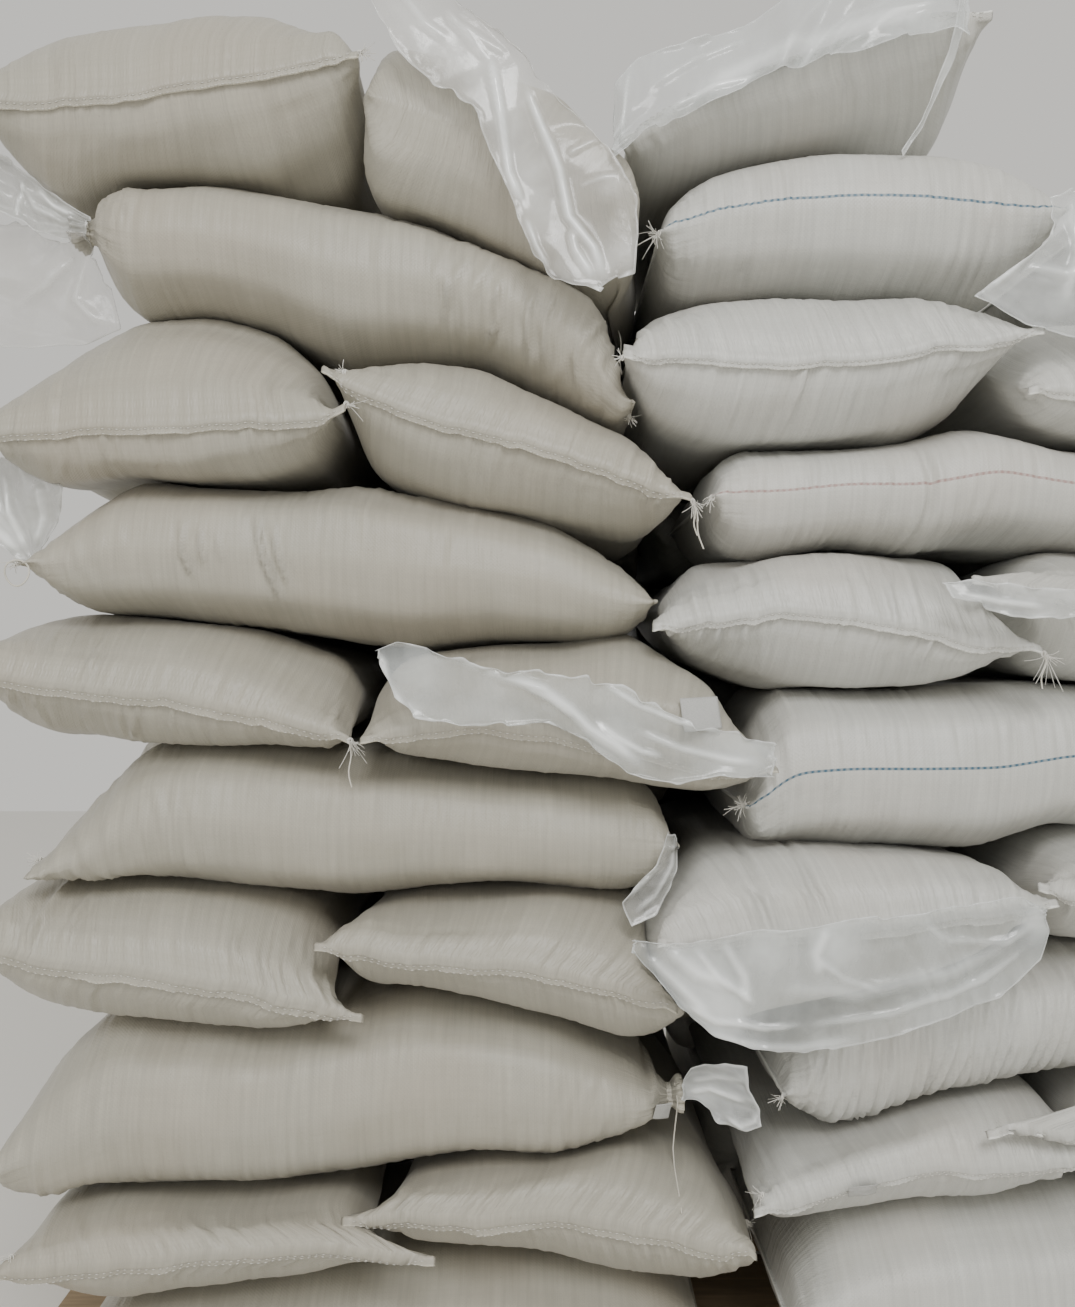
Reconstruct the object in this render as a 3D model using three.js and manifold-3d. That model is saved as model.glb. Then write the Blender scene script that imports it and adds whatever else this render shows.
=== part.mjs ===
// A timber pallet loaded with woven polypropylene sacks of 50 kg, ten layers high.
// Millimetres, +Z up, +X right along the face of the stack, +Y into its depth.
// The origin is under the middle of the centre bottom board.
import * as THREE from "three";
import { mergeVertices } from "three/addons/utils/BufferGeometryUtils.js";
import Module from "manifold-3d";

const wasm = await Module();
wasm.setup();

// The pallet
const PALLET_LENGTH = 2000;
const PALLET_DEPTH = 1200;
const BOARD_THICKNESS = 25;
const DECK_BOARD_WIDTH = 180;
const DECK_BOARDS = 5;
const BOTTOM_BOARDS = 3;
const STRINGER_WIDTH = 95;
const STRINGER_HEIGHT = 95;
const STRINGERS = 3;
const DECK_TOP = 2 * BOARD_THICKNESS + STRINGER_HEIGHT;
const FACE_GAP = 0.3;

// A sack: 55 cm wide and 1 m long when flat, filled with 50 kg
const HEM_DEPTH = 28;
const HEM_HALF_THICKNESS = 4;
const EAR_FADE = 22;
const END_LENGTH = 135;
const SHOWN_RINGS = [0, 0.1, 0.4, 1];
const HIDDEN_RINGS = [0, 0.25, 1];
const SHOWN_SHARES = [-1, -0.93, -0.6, 0.6, 0.93, 1];
const HIDDEN_SHARES = [-1, -0.9, -0.5, 0.5, 0.9, 1];
const END_POWER = 0.62;
const END_BLEND = 1.3;
const BLUNT_END = 60;
const SECTION_POWER = 2.7;
const SQUARE_SECTION_POWER = 5;
const OVERFILL = 1.2;
const CONTACT_GAP = 0.15;
const SIDE_POINT = 0.07;
const LEAST_STEP = 12;
const TIED_CENTRE = -620;
const TIED_HALF_WIDTH = 34;
const TIED_HALF_THICKNESS = 22;
const SHEET_THICKNESS = 8;

// The two rows of the stack, front and back
const END_ON_FRONT = -740;
const END_ON_INNER = 102;
const SIDE_ON_FRONT = -700;
const SIDE_ON_INNER = -160;
const BACK_END_ON_TIP = 735;
const BACK_END_ON_INNER = -155;
const BACK_SIDE_ON_INNER = 110;
const BACK_SIDE_ON_FACE = 690;

const BACK_HEM_DROP = 15;
const BACK_MEET = 9;
const LAYERS = 10;

const COLUMN_LEFT = -973;
const COLUMN_RIGHT = 973;
const STATION_PITCH = 97.3;
const LEFT_BACK_SPAN = [-965, 70];
const RIGHT_BACK_SPAN = [-80, 960];

// Where the left column meets the right one, seen from the front, from the deck up as x, z
const COLUMN_SEAM = [
  [60, 100], [112, 306], [105, 362], [35, 460], [7, 516], [77, 572], [28, 642], [-21, 726], [-88, 793],
  [-63, 866], [-7, 936], [24, 978], [98, 1048], [7, 1118], [-91, 1202], [-63, 1258], [-21, 1314], [7, 1356],
  [-4, 1412], [-63, 1496], [-116, 1580], [-77, 1678], [-80, 1762], [-94, 1846], [-125, 1888], [-133, 2014],
  [-133, 2300],
];
const COLUMN_GAP = 1;

// The lines along which one layer lies on the next, from the deck up, as x, z
const LEFT_CONTACTS = [
  [[-985, DECK_TOP], [90, DECK_TOP]],
  [[-985, 335], [-790, 325], [-595, 340], [-300, 375], [-105, 350], [-5, 330], [90, 335]],
  [[-985, 465], [-595, 470], [-495, 480], [-300, 510], [-205, 510], [-105, 535], [-5, 510], [90, 465]],
  [[-985, 720], [-790, 715], [-595, 695], [-495, 720], [-400, 740], [-300, 730], [-205, 710], [-105, 675],
    [90, 650]],
  [[-985, 905], [-890, 910], [-695, 890], [-495, 865], [-400, 880], [-105, 880], [90, 870]],
  [[-985, 1085], [-595, 1085], [-400, 1065], [-205, 1040], [90, 1015]],
  [[-985, 1270], [-790, 1260], [-595, 1240], [-400, 1210], [-300, 1220], [-105, 1220], [-5, 1190],
    [90, 1140]],
  [[-985, 1468], [-890, 1430], [-790, 1450], [-695, 1440], [-495, 1445], [-400, 1430], [-300, 1410],
    [-105, 1360], [90, 1325]],
  [[-985, 1560], [-890, 1615], [-790, 1675], [-695, 1685], [-595, 1665], [-495, 1610], [-300, 1610],
    [-205, 1565], [-105, 1515], [-5, 1465], [90, 1450]],
  [[-985, 1880], [-870, 1815], [-790, 1855], [-695, 1865], [-595, 1850], [-495, 1835], [-400, 1815],
    [-300, 1775], [-205, 1715], [-105, 1665], [-5, 1560], [90, 1520]],
];
const RIGHT_CONTACTS = [
  [[-205, DECK_TOP], [975, DECK_TOP]],
  [[-205, 370], [-5, 380], [90, 395], [190, 425], [385, 455], [580, 475], [775, 435], [975, 415]],
  [[-205, 555], [190, 545], [285, 575], [485, 625], [580, 630], [775, 595], [975, 580]],
  [[-205, 665], [-5, 680], [90, 710], [190, 735], [385, 780], [580, 805], [775, 780], [975, 770]],
  [[-205, 945], [90, 945], [385, 935], [485, 965], [580, 970], [775, 950], [975, 945]],
  [[-205, 1255], [-105, 1230], [-5, 1190], [90, 1155], [285, 1160], [485, 1170], [680, 1150], [975, 1155]],
  [[-205, 1340], [90, 1340], [190, 1355], [285, 1345], [385, 1360], [580, 1345], [775, 1330], [975, 1335]],
  [[-205, 1520], [-5, 1490], [190, 1495], [285, 1500], [385, 1525], [485, 1500], [680, 1480], [975, 1485]],
  [[-205, 1690], [90, 1700], [285, 1695], [485, 1675], [775, 1685], [975, 1680]],
  [[-205, 1840], [-105, 1840], [-5, 1860], [90, 1890], [190, 1905], [385, 1895], [485, 1870], [975, 1865]],
];
const BACK_TOP = [[-985, 2045], [-500, 2050], [-130, 1900]];

// The sacks that show, laid end on: the sides of the body, the line of the hem, and for some their own top
// or the loose part of their mouth
const END_ON_SACKS = [
  { name: "layer10_sack_1", layer: 10, x0: -968, x1: -456,
    hem: [[-972, 1925], [-840, 1922], [-725, 1940], [-595, 1955], [-450, 1984]],
    top: [[-985, 2060], [-890, 2075], [-790, 2090], [-695, 2103], [-595, 2103], [-530, 2085],
      [-450, 2065]] },
  { name: "layer10_sack_2", forward: 15, layer: 10, x0: -452, x1: -84, power: SQUARE_SECTION_POWER,
    hem: [[-440, 1925], [-300, 1880], [-90, 1800]],
    top: [[-450, 2050], [-336, 2025], [-210, 1980], [-150, 1935], [-116, 1885], [-80, 1830]],
    sheet: [[-458, 2150], [-420, 2035], [-371, 1979], [-322, 1965], [-301, 1930], [-273, 1860],
      [-250, 1795], [-210, 1712], [-130, 1690], [-84, 1710], [-80, 1760], [-116, 1880], [-168, 1958],
      [-203, 2000], [-273, 2056], [-336, 2098], [-370, 2150]] },
  { name: "layer10_sack_3", forward: -15, layer: 10, right: true, x0: -104, x1: 368,
    hem: [[-118, 1872], [-7, 1925], [147, 1985], [290, 2025], [372, 2040]],
    top: [[-118, 1905], [-77, 1925], [-7, 1960], [77, 1997], [147, 2025], [217, 2040], [287, 2068],
      [365, 2075]],
    sheet: [[-112, 1895], [-115, 1944], [-116, 2014], [-49, 2042], [7, 2056], [77, 2084], [133, 2110],
      [230, 2140], [330, 2150], [380, 2140], [378, 2098], [364, 2042], [290, 2030], [147, 1990],
      [-7, 1930]] },
  { name: "layer08_sack_1", forward: 10, layer: 8, x0: -950, x1: -487,
    hem: [[-965, 1485], [-790, 1500], [-635, 1500], [-530, 1506], [-466, 1522]] },
  { name: "layer08_sack_2", forward: -5, layer: 8, x0: -481, x1: -30,
    hem: [[-500, 1575], [-440, 1540], [-335, 1505], [-190, 1470], [-85, 1430], [-20, 1405]] },
  { name: "layer08_sack_3", forward: 15, layer: 8, right: true, x0: -104, x1: 396,
    hem: [[-122, 1588], [-10, 1580], [185, 1585], [315, 1600], [428, 1618]] },
  { name: "layer08_sack_4", layer: 8, right: true, x0: 404, x1: 968,
    hem: [[412, 1545], [640, 1540], [975, 1550]] },
  { name: "layer06_sack_1", layer: 6, x0: -965, x1: -459,
    hem: [[-972, 1190], [-870, 1165], [-725, 1155], [-595, 1135], [-475, 1097], [-462, 1093]] },
  { name: "layer06_sack_2", forward: 25, layer: 6, x0: -452, x1: 82,
    hem: [[-446, 1097], [-335, 1120], [-140, 1100], [-10, 1060], [88, 1058]],
    sheet: [[-444, 1174], [-441, 1195], [-413, 1200], [-329, 1174], [-217, 1152], [7, 1120], [70, 1125],
      [87, 1130], [98, 1097], [112, 1041], [100, 1020], [63, 1013], [7, 1002], [-77, 1031], [-175, 1083],
      [-273, 1079], [-357, 1083], [-392, 1101]] },
  { name: "layer06_sack_3", forward: -10, layer: 6, right: true, x0: -58, x1: 400,
    hem: [[-88, 1240], [-10, 1250], [120, 1265], [250, 1245], [380, 1220], [436, 1208]] },
  { name: "layer06_sack_4", forward: 12, layer: 6, right: true, x0: 408, x1: 965,
    hem: [[335, 1300], [510, 1262], [640, 1258], [970, 1265]] },
  { name: "layer04_sack_1", forward: -5, layer: 4, x0: -965, x1: -494,
    hem: [[-972, 838], [-855, 805], [-725, 790], [-595, 770], [-505, 745], [-446, 726]] },
  { name: "layer04_sack_2", forward: 8, layer: 4, x0: -488, x1: -22,
    hem: [[-508, 832], [-400, 815], [-205, 800], [-115, 775], [-14, 740]] },
  { name: "layer04_sack_3", forward: 45, layer: 4, right: true, x0: -80, x1: 434,
    hem: [[-84, 842], [120, 855], [250, 865], [385, 888], [432, 892]],
    sheet: [[-88, 782], [-70, 752], [-35, 712], [-7, 677], [28, 649], [77, 632], [147, 628], [217, 635],
      [287, 649], [357, 677], [427, 705], [483, 754], [497, 796], [490, 824], [462, 842], [400, 895],
      [287, 862], [147, 850], [-7, 840], [-80, 840]] },
  { name: "layer04_sack_4", layer: 4, right: true, x0: 442, x1: 968,
    hem: [[425, 905], [480, 885], [640, 880], [972, 895]] },
  { name: "layer02_sack_1", forward: 20, layer: 2, x0: -915, x1: -437,
    hem: [[-925, 412], [-840, 420], [-595, 440], [-465, 445], [-350, 428]] },
  { name: "layer02_sack_2", forward: -5, layer: 2, x0: -430, x1: 88,
    hem: [[-474, 472], [-335, 465], [-205, 480], [-140, 475], [-75, 455], [92, 418]] },
  { name: "layer02_sack_3", layer: 2, right: true, x0: 60, x1: 500,
    hem: [[58, 480], [120, 505], [185, 522], [275, 545], [380, 540], [515, 552]] },
  { name: "layer02_sack_4", forward: 15, layer: 2, right: true, x0: 508, x1: 968,
    hem: [[352, 600], [460, 597], [640, 580], [970, 568]] },
];

// The sacks that show, laid side on: both ends of the sack, the height of each end, which end is tied and
// which is blunt
const SIDE_ON_SACKS = [
  { name: "layer09_sack_1", layer: 9, x0: -850, x1: -68, z0: 1785, z1: 1540, tied0: true, end0: BLUNT_END,
    end1: BLUNT_END,
    sheet: [[-835, 1795], [-870, 1800], [-925, 1830], [-990, 1860], [-1005, 1790], [-1000, 1690],
      [-960, 1610], [-900, 1650], [-862, 1720], [-832, 1775]] },
  { name: "layer09_sack_2", forward: 12, layer: 9, right: true, x0: -84, x1: 500, z0: 1797, z1: 1790,
    end0: BLUNT_END },
  { name: "layer09_sack_3", forward: -10, layer: 9, right: true, x0: 512, x1: 968, z0: 1790, z1: 1785 },
  { name: "layer07_sack_1", forward: 10, layer: 7, x0: -925, x1: -40, z0: 1325, z1: 1275,
    sheet: [[-900, 1322], [-985, 1340], [-995, 1400], [-975, 1440], [-925, 1425], [-890, 1415],
      [-870, 1380], [-890, 1335]] },
  { name: "layer07_sack_2", layer: 7, right: true, x0: -14, x1: 862, z0: 1415, z1: 1412, end0: BLUNT_END },
  { name: "layer05_sack_1", forward: 15, layer: 5, x0: -915, x1: -12, z0: 905, z1: 955, end1: BLUNT_END },
  { name: "layer05_sack_2", forward: 8, layer: 5, right: true, x0: 30, x1: 890, z0: 1005, z1: 1050,
    end0: BLUNT_END },
  { name: "layer03_sack_1", forward: 12, layer: 3, x0: -968, x1: -26, z0: 525, z1: 600, tied1: true,
    sheet: [[-40, 592], [-21, 585], [10, 550], [50, 530], [84, 535], [92, 560], [70, 575], [66, 615],
      [12, 617], [-20, 605]] },
  { name: "layer03_sack_2", forward: -12, layer: 3, right: true, x0: 82, x1: 905, z0: 620, z1: 690 },
  { name: "layer01_sack_1", forward: 10, layer: 1, x0: -890, x1: 40, z0: 235, z1: 235 },
  { name: "layer01_sack_2", forward: 20, layer: 1, right: true, x0: 95, x1: 925, z0: 300, z1: 280 },
];

const SACK_COLOUR = 0xc9c2b6;
const WHITE_SACK_COLOUR = 0xd2d1cb;
const TIMBER_COLOUR = 0xb08a5c;
const materialWith = (color, roughness) =>
  new THREE.MeshStandardMaterial({ color, roughness, metalness: 0 });
const sackMaterial = materialWith(SACK_COLOUR, 0.55);
const whiteSackMaterial = materialWith(WHITE_SACK_COLOUR, 0.5);
const timberMaterial = materialWith(TIMBER_COLOUR, 0.85);

// The height of an outline of x, z points at x
function heightAt(outline, x) {
  if (x <= outline[0][0]) return outline[0][1];
  for (let i = 1; i < outline.length; i++) {
    const [xa, za] = outline[i - 1];
    const [xb, zb] = outline[i];
    if (x <= xb) return THREE.MathUtils.mapLinear(x, xa, xb, za, zb);
  }
  return outline[outline.length - 1][1];
}

// Two sacks that touch share these x stations, so their facets lie face to face
const stations = [];
for (let x = COLUMN_LEFT; x <= COLUMN_RIGHT + 1; x += STATION_PITCH) stations.push(x);

// A contact surface: straight between stations and level in depth
function contactSurface(outline) {
  return (x) => {
    const low = Math.floor((x - COLUMN_LEFT) / STATION_PITCH) * STATION_PITCH + COLUMN_LEFT;
    const high = low + STATION_PITCH;
    return THREE.MathUtils.mapLinear(x, low, high, heightAt(outline, low), heightAt(outline, high));
  };
}

// How full the sack is at a distance from its hem, where its end tapers over a length
function fillAt(distance, endLength = END_LENGTH) {
  const t = Math.min(Math.max(distance, 0) / endLength, 1);
  return Math.pow(1 - (1 - t) * (1 - t), END_POWER);
}

// The height of the section at a share of its half width; a greater power makes it squarer
function sectionAt(share, power = SECTION_POWER) {
  const s = Math.min(Math.abs(share), 1);
  return Math.pow(1 - Math.pow(s, power), 1 / power);
}

// Places from one end of a sack to the other: the stations between, and the other places not too near one
function placesAlong(from, to, others) {
  const passed = stations.filter((s) => s > from + LEAST_STEP && s < to - LEAST_STEP);
  const free = others.filter((a) => passed.every((s) => Math.abs(a - s) > LEAST_STEP));
  return [...passed, ...free].sort((a, b) => a - b);
}

// A closed body from rings of equal count: left edge, top points, right edge, bottom points back
function bodyFromRings(rings) {
  const count = rings[0].length;
  const across = count / 2 - 1;
  const positions = rings.flat(2);
  const index = [];
  for (let r = 0; r + 1 < rings.length; r++)
    for (let i = 0; i < count; i++) {
      const a = r * count + i;
      const b = r * count + ((i + 1) % count);
      index.push(a, b, b + count, a, b + count, a + count);
    }
  for (const [start, turned] of [[0, true], [(rings.length - 1) * count, false]])
    for (let i = 0; i <= across; i++) {
      const top = [start + i, start + i + 1];
      const bottom = [start + ((count - i) % count), start + count - i - 1];
      const faces = [[top[0], top[1], bottom[1]]];
      if (i > 0) faces.push([top[0], bottom[1], bottom[0]]);
      for (const [a, b, c] of faces) {
        if (new Set([a, b, c]).size < 3) continue;
        index.push(...(turned ? [a, c, b] : [a, b, c]));
      }
    }
  const geometry = new THREE.BufferGeometry();
  geometry.setAttribute("position", new THREE.Float32BufferAttribute(positions, 3));
  geometry.setIndex(index);
  return solidOf(geometry);
}

// A geometry as a solid, turned to face out
function solidOf(geometry) {
  const plain = geometry.clone();
  plain.deleteAttribute("normal");
  plain.deleteAttribute("uv");
  const merged = mergeVertices(plain, 1e-3);
  const vertProperties = new Float32Array(merged.attributes.position.array);
  const triVerts = new Uint32Array(merged.index.array);
  let volume = 0;
  const a = new THREE.Vector3();
  const b = new THREE.Vector3();
  const c = new THREE.Vector3();
  for (let i = 0; i < triVerts.length; i += 3) {
    a.fromArray(vertProperties, triVerts[i] * 3);
    b.fromArray(vertProperties, triVerts[i + 1] * 3);
    c.fromArray(vertProperties, triVerts[i + 2] * 3);
    volume += a.dot(b.cross(c));
  }
  if (volume < 0) triVerts.reverse();
  return new wasm.Manifold(new wasm.Mesh({ numProp: 3, vertProperties, triVerts }));
}

// A solid as a geometry with flat facets
function geometryOf(solid) {
  const { vertProperties, triVerts } = solid.getMesh();
  const geometry = new THREE.BufferGeometry();
  geometry.setAttribute("position", new THREE.BufferAttribute(vertProperties, 3));
  geometry.setIndex(new THREE.BufferAttribute(triVerts, 1));
  geometry.computeVertexNormals();
  return geometry;
}

// One ring of a sack: pairs of top and bottom heights inside the cell, between two single edge points
function ring(points, place) {
  const top = points.map((p) => place(p, p.top));
  const bottom = points.slice(1, -1).map((p) => place(p, p.bottom));
  return [...top, ...bottom.reverse()];
}

// The top and bottom of a sack at one point, kept inside its cell
function heights(low, high, middle, half) {
  const floor = low + CONTACT_GAP;
  const ceiling = high - CONTACT_GAP;
  const centre = Math.min(Math.max(middle, floor + HEM_HALF_THICKNESS), ceiling - HEM_HALF_THICKNESS);
  return { top: Math.min(centre + half, ceiling), bottom: Math.max(centre - half, floor), centre };
}

// A sack laid end on, its long axis in depth, with its hem at tipY and its other end at endY
function endOnSack({ x0, x1, hem, low, high, tipY, endY, power, rings = SHOWN_RINGS }) {
  const inward = Math.sign(endY - tipY);
  const length = Math.abs(endY - tipY);
  const side = (x1 - x0) * SIDE_POINT;
  const across = placesAlong(x0, x1, [x0, x0 + side, x1 - side, x1]);
  const centre = (x0 + x1) / 2;
  const halfWidth = (x1 - x0) / 2;
  const inner = [length - END_LENGTH / 2, length];
  const outlines = [0, ...rings.map((share) => HEM_DEPTH + share * END_LENGTH), ...inner].map((depth) => {
    const toInner = length - depth;
    const fill = Math.min(fillAt(depth - HEM_DEPTH), Math.max(fillAt(toInner), 0.12));
    const blend = THREE.MathUtils.smoothstep(depth, HEM_DEPTH, HEM_DEPTH + END_LENGTH);
    const spread = 1 - THREE.MathUtils.smoothstep(depth, HEM_DEPTH, HEM_DEPTH + EAR_FADE);
    const points = across.map((x, i) => {
      const edge = i === 0 || i === across.length - 1;
      const outer = i <= 1 || i >= across.length - 2;
      const ear = x < centre ? hem[0][0] - x0 : hem[hem.length - 1][0] - x1;
      const placed = outer ? x + ear * spread : x;
      const lo = low(placed);
      const hi = high(placed);
      const middle = THREE.MathUtils.lerp(heightAt(hem, placed), (lo + hi) / 2, blend);
      const share = (x - centre) / halfWidth;
      const full = (OVERFILL * fill * sectionAt(share, power) * (hi - lo)) / 2;
      const half = edge ? 0 : Math.max(HEM_HALF_THICKNESS, full);
      return { x: placed, y: tipY + inward * depth, ...heights(lo, hi, middle, half) };
    });
    return ring(points, (p, z) => [p.x, p.y, z]);
  });
  return bodyFromRings(outlines);
}

// A sack laid side on, its long axis along x; its ends taper over the lengths end0 and end1
function sideOnSack(sack) {
  const { x0, x1, z0, z1, tied0, tied1, low, high, y0, y1 } = sack;
  const { end0 = END_LENGTH, end1 = END_LENGTH, rings = SHOWN_RINGS } = sack;
  const endPlaces = (endLength) => [0, ...rings.map((share) => HEM_DEPTH + share * endLength)];
  const others = [...endPlaces(end0).map((e) => x0 + e), ...endPlaces(end1).map((e) => x1 - e)];
  const along = placesAlong(x0, x1, others);
  const shares = rings === SHOWN_RINGS ? SHOWN_SHARES : HIDDEN_SHARES;
  const centre = (y0 + y1) / 2;
  const halfDepth = (y1 - y0) / 2;
  const outlines = along.map((x) => {
    const atStart = x - x0 < x1 - x;
    const distance = Math.min(x - x0, x1 - x);
    const tied = atStart ? tied0 : tied1;
    const endLength = atStart ? end0 : end1;
    const fill = fillAt(distance - HEM_DEPTH, endLength);
    const blend = THREE.MathUtils.smoothstep(distance, HEM_DEPTH, HEM_DEPTH + endLength * END_BLEND);
    const lo = low(x);
    const hi = high(x);
    const middle = THREE.MathUtils.lerp(atStart ? z0 : z1, (lo + hi) / 2, blend);
    const spread = tied ? THREE.MathUtils.lerp(TIED_HALF_WIDTH, halfDepth, fill) : halfDepth;
    const ringCentre = tied ? THREE.MathUtils.lerp(TIED_CENTRE, centre, fill) : centre;
    const thin = tied ? TIED_HALF_THICKNESS : HEM_HALF_THICKNESS;
    const points = shares.map((share) => {
      const edge = Math.abs(share) === 1;
      const least = thin * (tied ? sectionAt(share) : 1);
      const full = (OVERFILL * fill * sectionAt(share) * (hi - lo)) / 2;
      const half = edge ? 0 : Math.max(least, full);
      return { y: ringCentre + share * spread, ...heights(lo, hi, middle, half) };
    });
    return ring(points, (p, z) => [x, p.y, z]);
  });
  return bodyFromRings(outlines);
}

// A thin upright sheet in front of its sack, from its outline seen from the front
function sheetSolid(outline, frontY) {
  const shape = new THREE.Shape(outline.map(([x, z]) => new THREE.Vector2(x, z)));
  const geometry = new THREE.ExtrudeGeometry(shape, { depth: SHEET_THICKNESS, bevelEnabled: false });
  geometry.rotateX(Math.PI / 2);
  geometry.translate(0, frontY + SHEET_THICKNESS, 0);
  return solidOf(geometry);
}

// The space on one side of the seam between the columns
function columnSpace(right) {
  const shift = right ? COLUMN_GAP : 0;
  const far = right ? 1200 : -1200;
  const outline = COLUMN_SEAM.map(([x, z]) => [x + shift, z]);
  const shape = new THREE.Shape(
    [...outline, [far, 2300], [far, 100]].map(([x, z]) => new THREE.Vector2(x, z)),
  );
  const geometry = new THREE.ExtrudeGeometry(shape, { depth: 1600, bevelEnabled: false });
  geometry.rotateX(Math.PI / 2);
  geometry.translate(0, 800, 0);
  return solidOf(geometry);
}

const columnSpaces = { left: columnSpace(false), right: columnSpace(true) };

// The cell of a layer: its lower and upper contact surfaces
function cellOf(layer, right, top) {
  const contacts = right ? RIGHT_CONTACTS : LEFT_CONTACTS;
  const above = layer < contacts.length ? contacts[layer] : (top ?? BACK_TOP);
  return { low: contactSurface(contacts[layer - 1]), high: contactSurface(above) };
}

const pallet_of_sacks = new THREE.Group();
pallet_of_sacks.name = "pallet_of_sacks";

function addPiece(group, name, solid, material) {
  const mesh = new THREE.Mesh(geometryOf(solid), material);
  mesh.name = name;
  group.add(mesh);
}

// The pallet: bottom boards, stringers and deck boards
function addPallet() {
  const pallet = new THREE.Group();
  const addBoard = (name, size, place) => {
    const mesh = new THREE.Mesh(new THREE.BoxGeometry(...size), timberMaterial);
    mesh.name = name;
    mesh.position.set(...place);
    pallet.add(mesh);
  };
  const rowPlace = (i, count, span, width) =>
    THREE.MathUtils.mapLinear(i, 0, count - 1, -1, 1) * ((span - width) / 2);
  for (let i = 0; i < BOTTOM_BOARDS; i++)
    addBoard("bottom_board_" + (i + 1), [PALLET_LENGTH, DECK_BOARD_WIDTH, BOARD_THICKNESS - FACE_GAP],
      [0, rowPlace(i, BOTTOM_BOARDS, PALLET_DEPTH, DECK_BOARD_WIDTH), (BOARD_THICKNESS - FACE_GAP) / 2]);
  for (let i = 0; i < STRINGERS; i++)
    addBoard("stringer_" + (i + 1), [STRINGER_WIDTH, PALLET_DEPTH, STRINGER_HEIGHT - FACE_GAP],
      [rowPlace(i, STRINGERS, PALLET_LENGTH, STRINGER_WIDTH), 0,
        BOARD_THICKNESS + (STRINGER_HEIGHT - FACE_GAP) / 2]);
  for (let i = 0; i < DECK_BOARDS; i++)
    addBoard("deck_board_" + (i + 1), [PALLET_LENGTH, DECK_BOARD_WIDTH, BOARD_THICKNESS],
      [0, rowPlace(i, DECK_BOARDS, PALLET_DEPTH, DECK_BOARD_WIDTH), DECK_TOP - BOARD_THICKNESS / 2]);
  pallet_of_sacks.add(pallet);
}

// A sack with its loose sheet, cut to its own column
function finished(solid, sack, frontY) {
  const side = sack.right ? columnSpaces.right : columnSpaces.left;
  if (!sack.sheet) return solid.intersect(side);
  const sheet = sheetSolid(sack.sheet, frontY);
  return frontY < SIDE_ON_FRONT ? solid.intersect(side).add(sheet) : solid.add(sheet).intersect(side);
}

function materialOf(sack) {
  return sack.right ? whiteSackMaterial : sackMaterial;
}

function addFrontSacks() {
  const front = new THREE.Group();
  for (const sack of END_ON_SACKS) {
    const cell = cellOf(sack.layer, sack.right, sack.top);
    const tipY = END_ON_FRONT - (sack.forward ?? 0);
    const solid = endOnSack({ ...sack, ...cell, tipY, endY: END_ON_INNER });
    addPiece(front, sack.name, finished(solid, sack, tipY + HEM_DEPTH), materialOf(sack));
  }
  for (const sack of SIDE_ON_SACKS) {
    const cell = cellOf(sack.layer, sack.right);
    const y0 = SIDE_ON_FRONT - (sack.forward ?? 0);
    const solid = sideOnSack({ ...sack, ...cell, y0, y1: SIDE_ON_INNER });
    addPiece(front, sack.name, finished(solid, sack, TIED_CENTRE), materialOf(sack));
  }
  pallet_of_sacks.add(front);
}

// The hidden row, one solid for each layer of a column: one sack side on, or two end on that touch
function addBackSacks() {
  const back = new THREE.Group();
  for (let layer = 1; layer <= LAYERS; layer++)
    for (const right of [false, true]) {
      if (right && layer === LAYERS) continue;
      const name = "layer" + String(layer).padStart(2, "0") + (right ? "_back_right" : "_back_left");
      const cell = cellOf(layer, right);
      const [x0, x1] = right ? RIGHT_BACK_SPAN : LEFT_BACK_SPAN;
      const middle = (cell.low((x0 + x1) / 2) + cell.high((x0 + x1) / 2)) / 2;
      let solid;
      if (layer % 2 === 0) {
        const ends = { z0: (cell.low(x0) + cell.high(x0)) / 2, z1: (cell.low(x1) + cell.high(x1)) / 2 };
        solid = sideOnSack({ x0, x1, ...ends, ...cell, y0: BACK_SIDE_ON_INNER, y1: BACK_SIDE_ON_FACE,
          rings: HIDDEN_RINGS });
      } else {
        const depth = { ...cell, tipY: BACK_END_ON_TIP, endY: BACK_END_ON_INNER, rings: HIDDEN_RINGS };
        const split = (x0 + x1) / 2;
        const hemOf = (a, b) => [[a, middle - BACK_HEM_DROP], [b, middle - BACK_HEM_DROP]];
        const first = { x0, x1: split + BACK_MEET, hem: hemOf(x0 - BACK_MEET, split + BACK_MEET) };
        const second = { x0: split - BACK_MEET, x1, hem: hemOf(split - BACK_MEET, x1 + BACK_MEET) };
        solid = endOnSack({ ...first, ...depth }).add(endOnSack({ ...second, ...depth }));
      }
      const space = right ? columnSpaces.right : columnSpaces.left;
      addPiece(back, name, solid.intersect(space), materialOf({ right }));
    }
  pallet_of_sacks.add(back);
}

addPallet();
addFrontSacks();
addBackSacks();

export default pallet_of_sacks;
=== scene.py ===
"""A timber pallet loaded ten layers high with woven sacks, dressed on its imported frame."""
import math

import bpy
import numpy as np
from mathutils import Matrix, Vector
from mathutils.bvhtree import BVHTree


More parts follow.
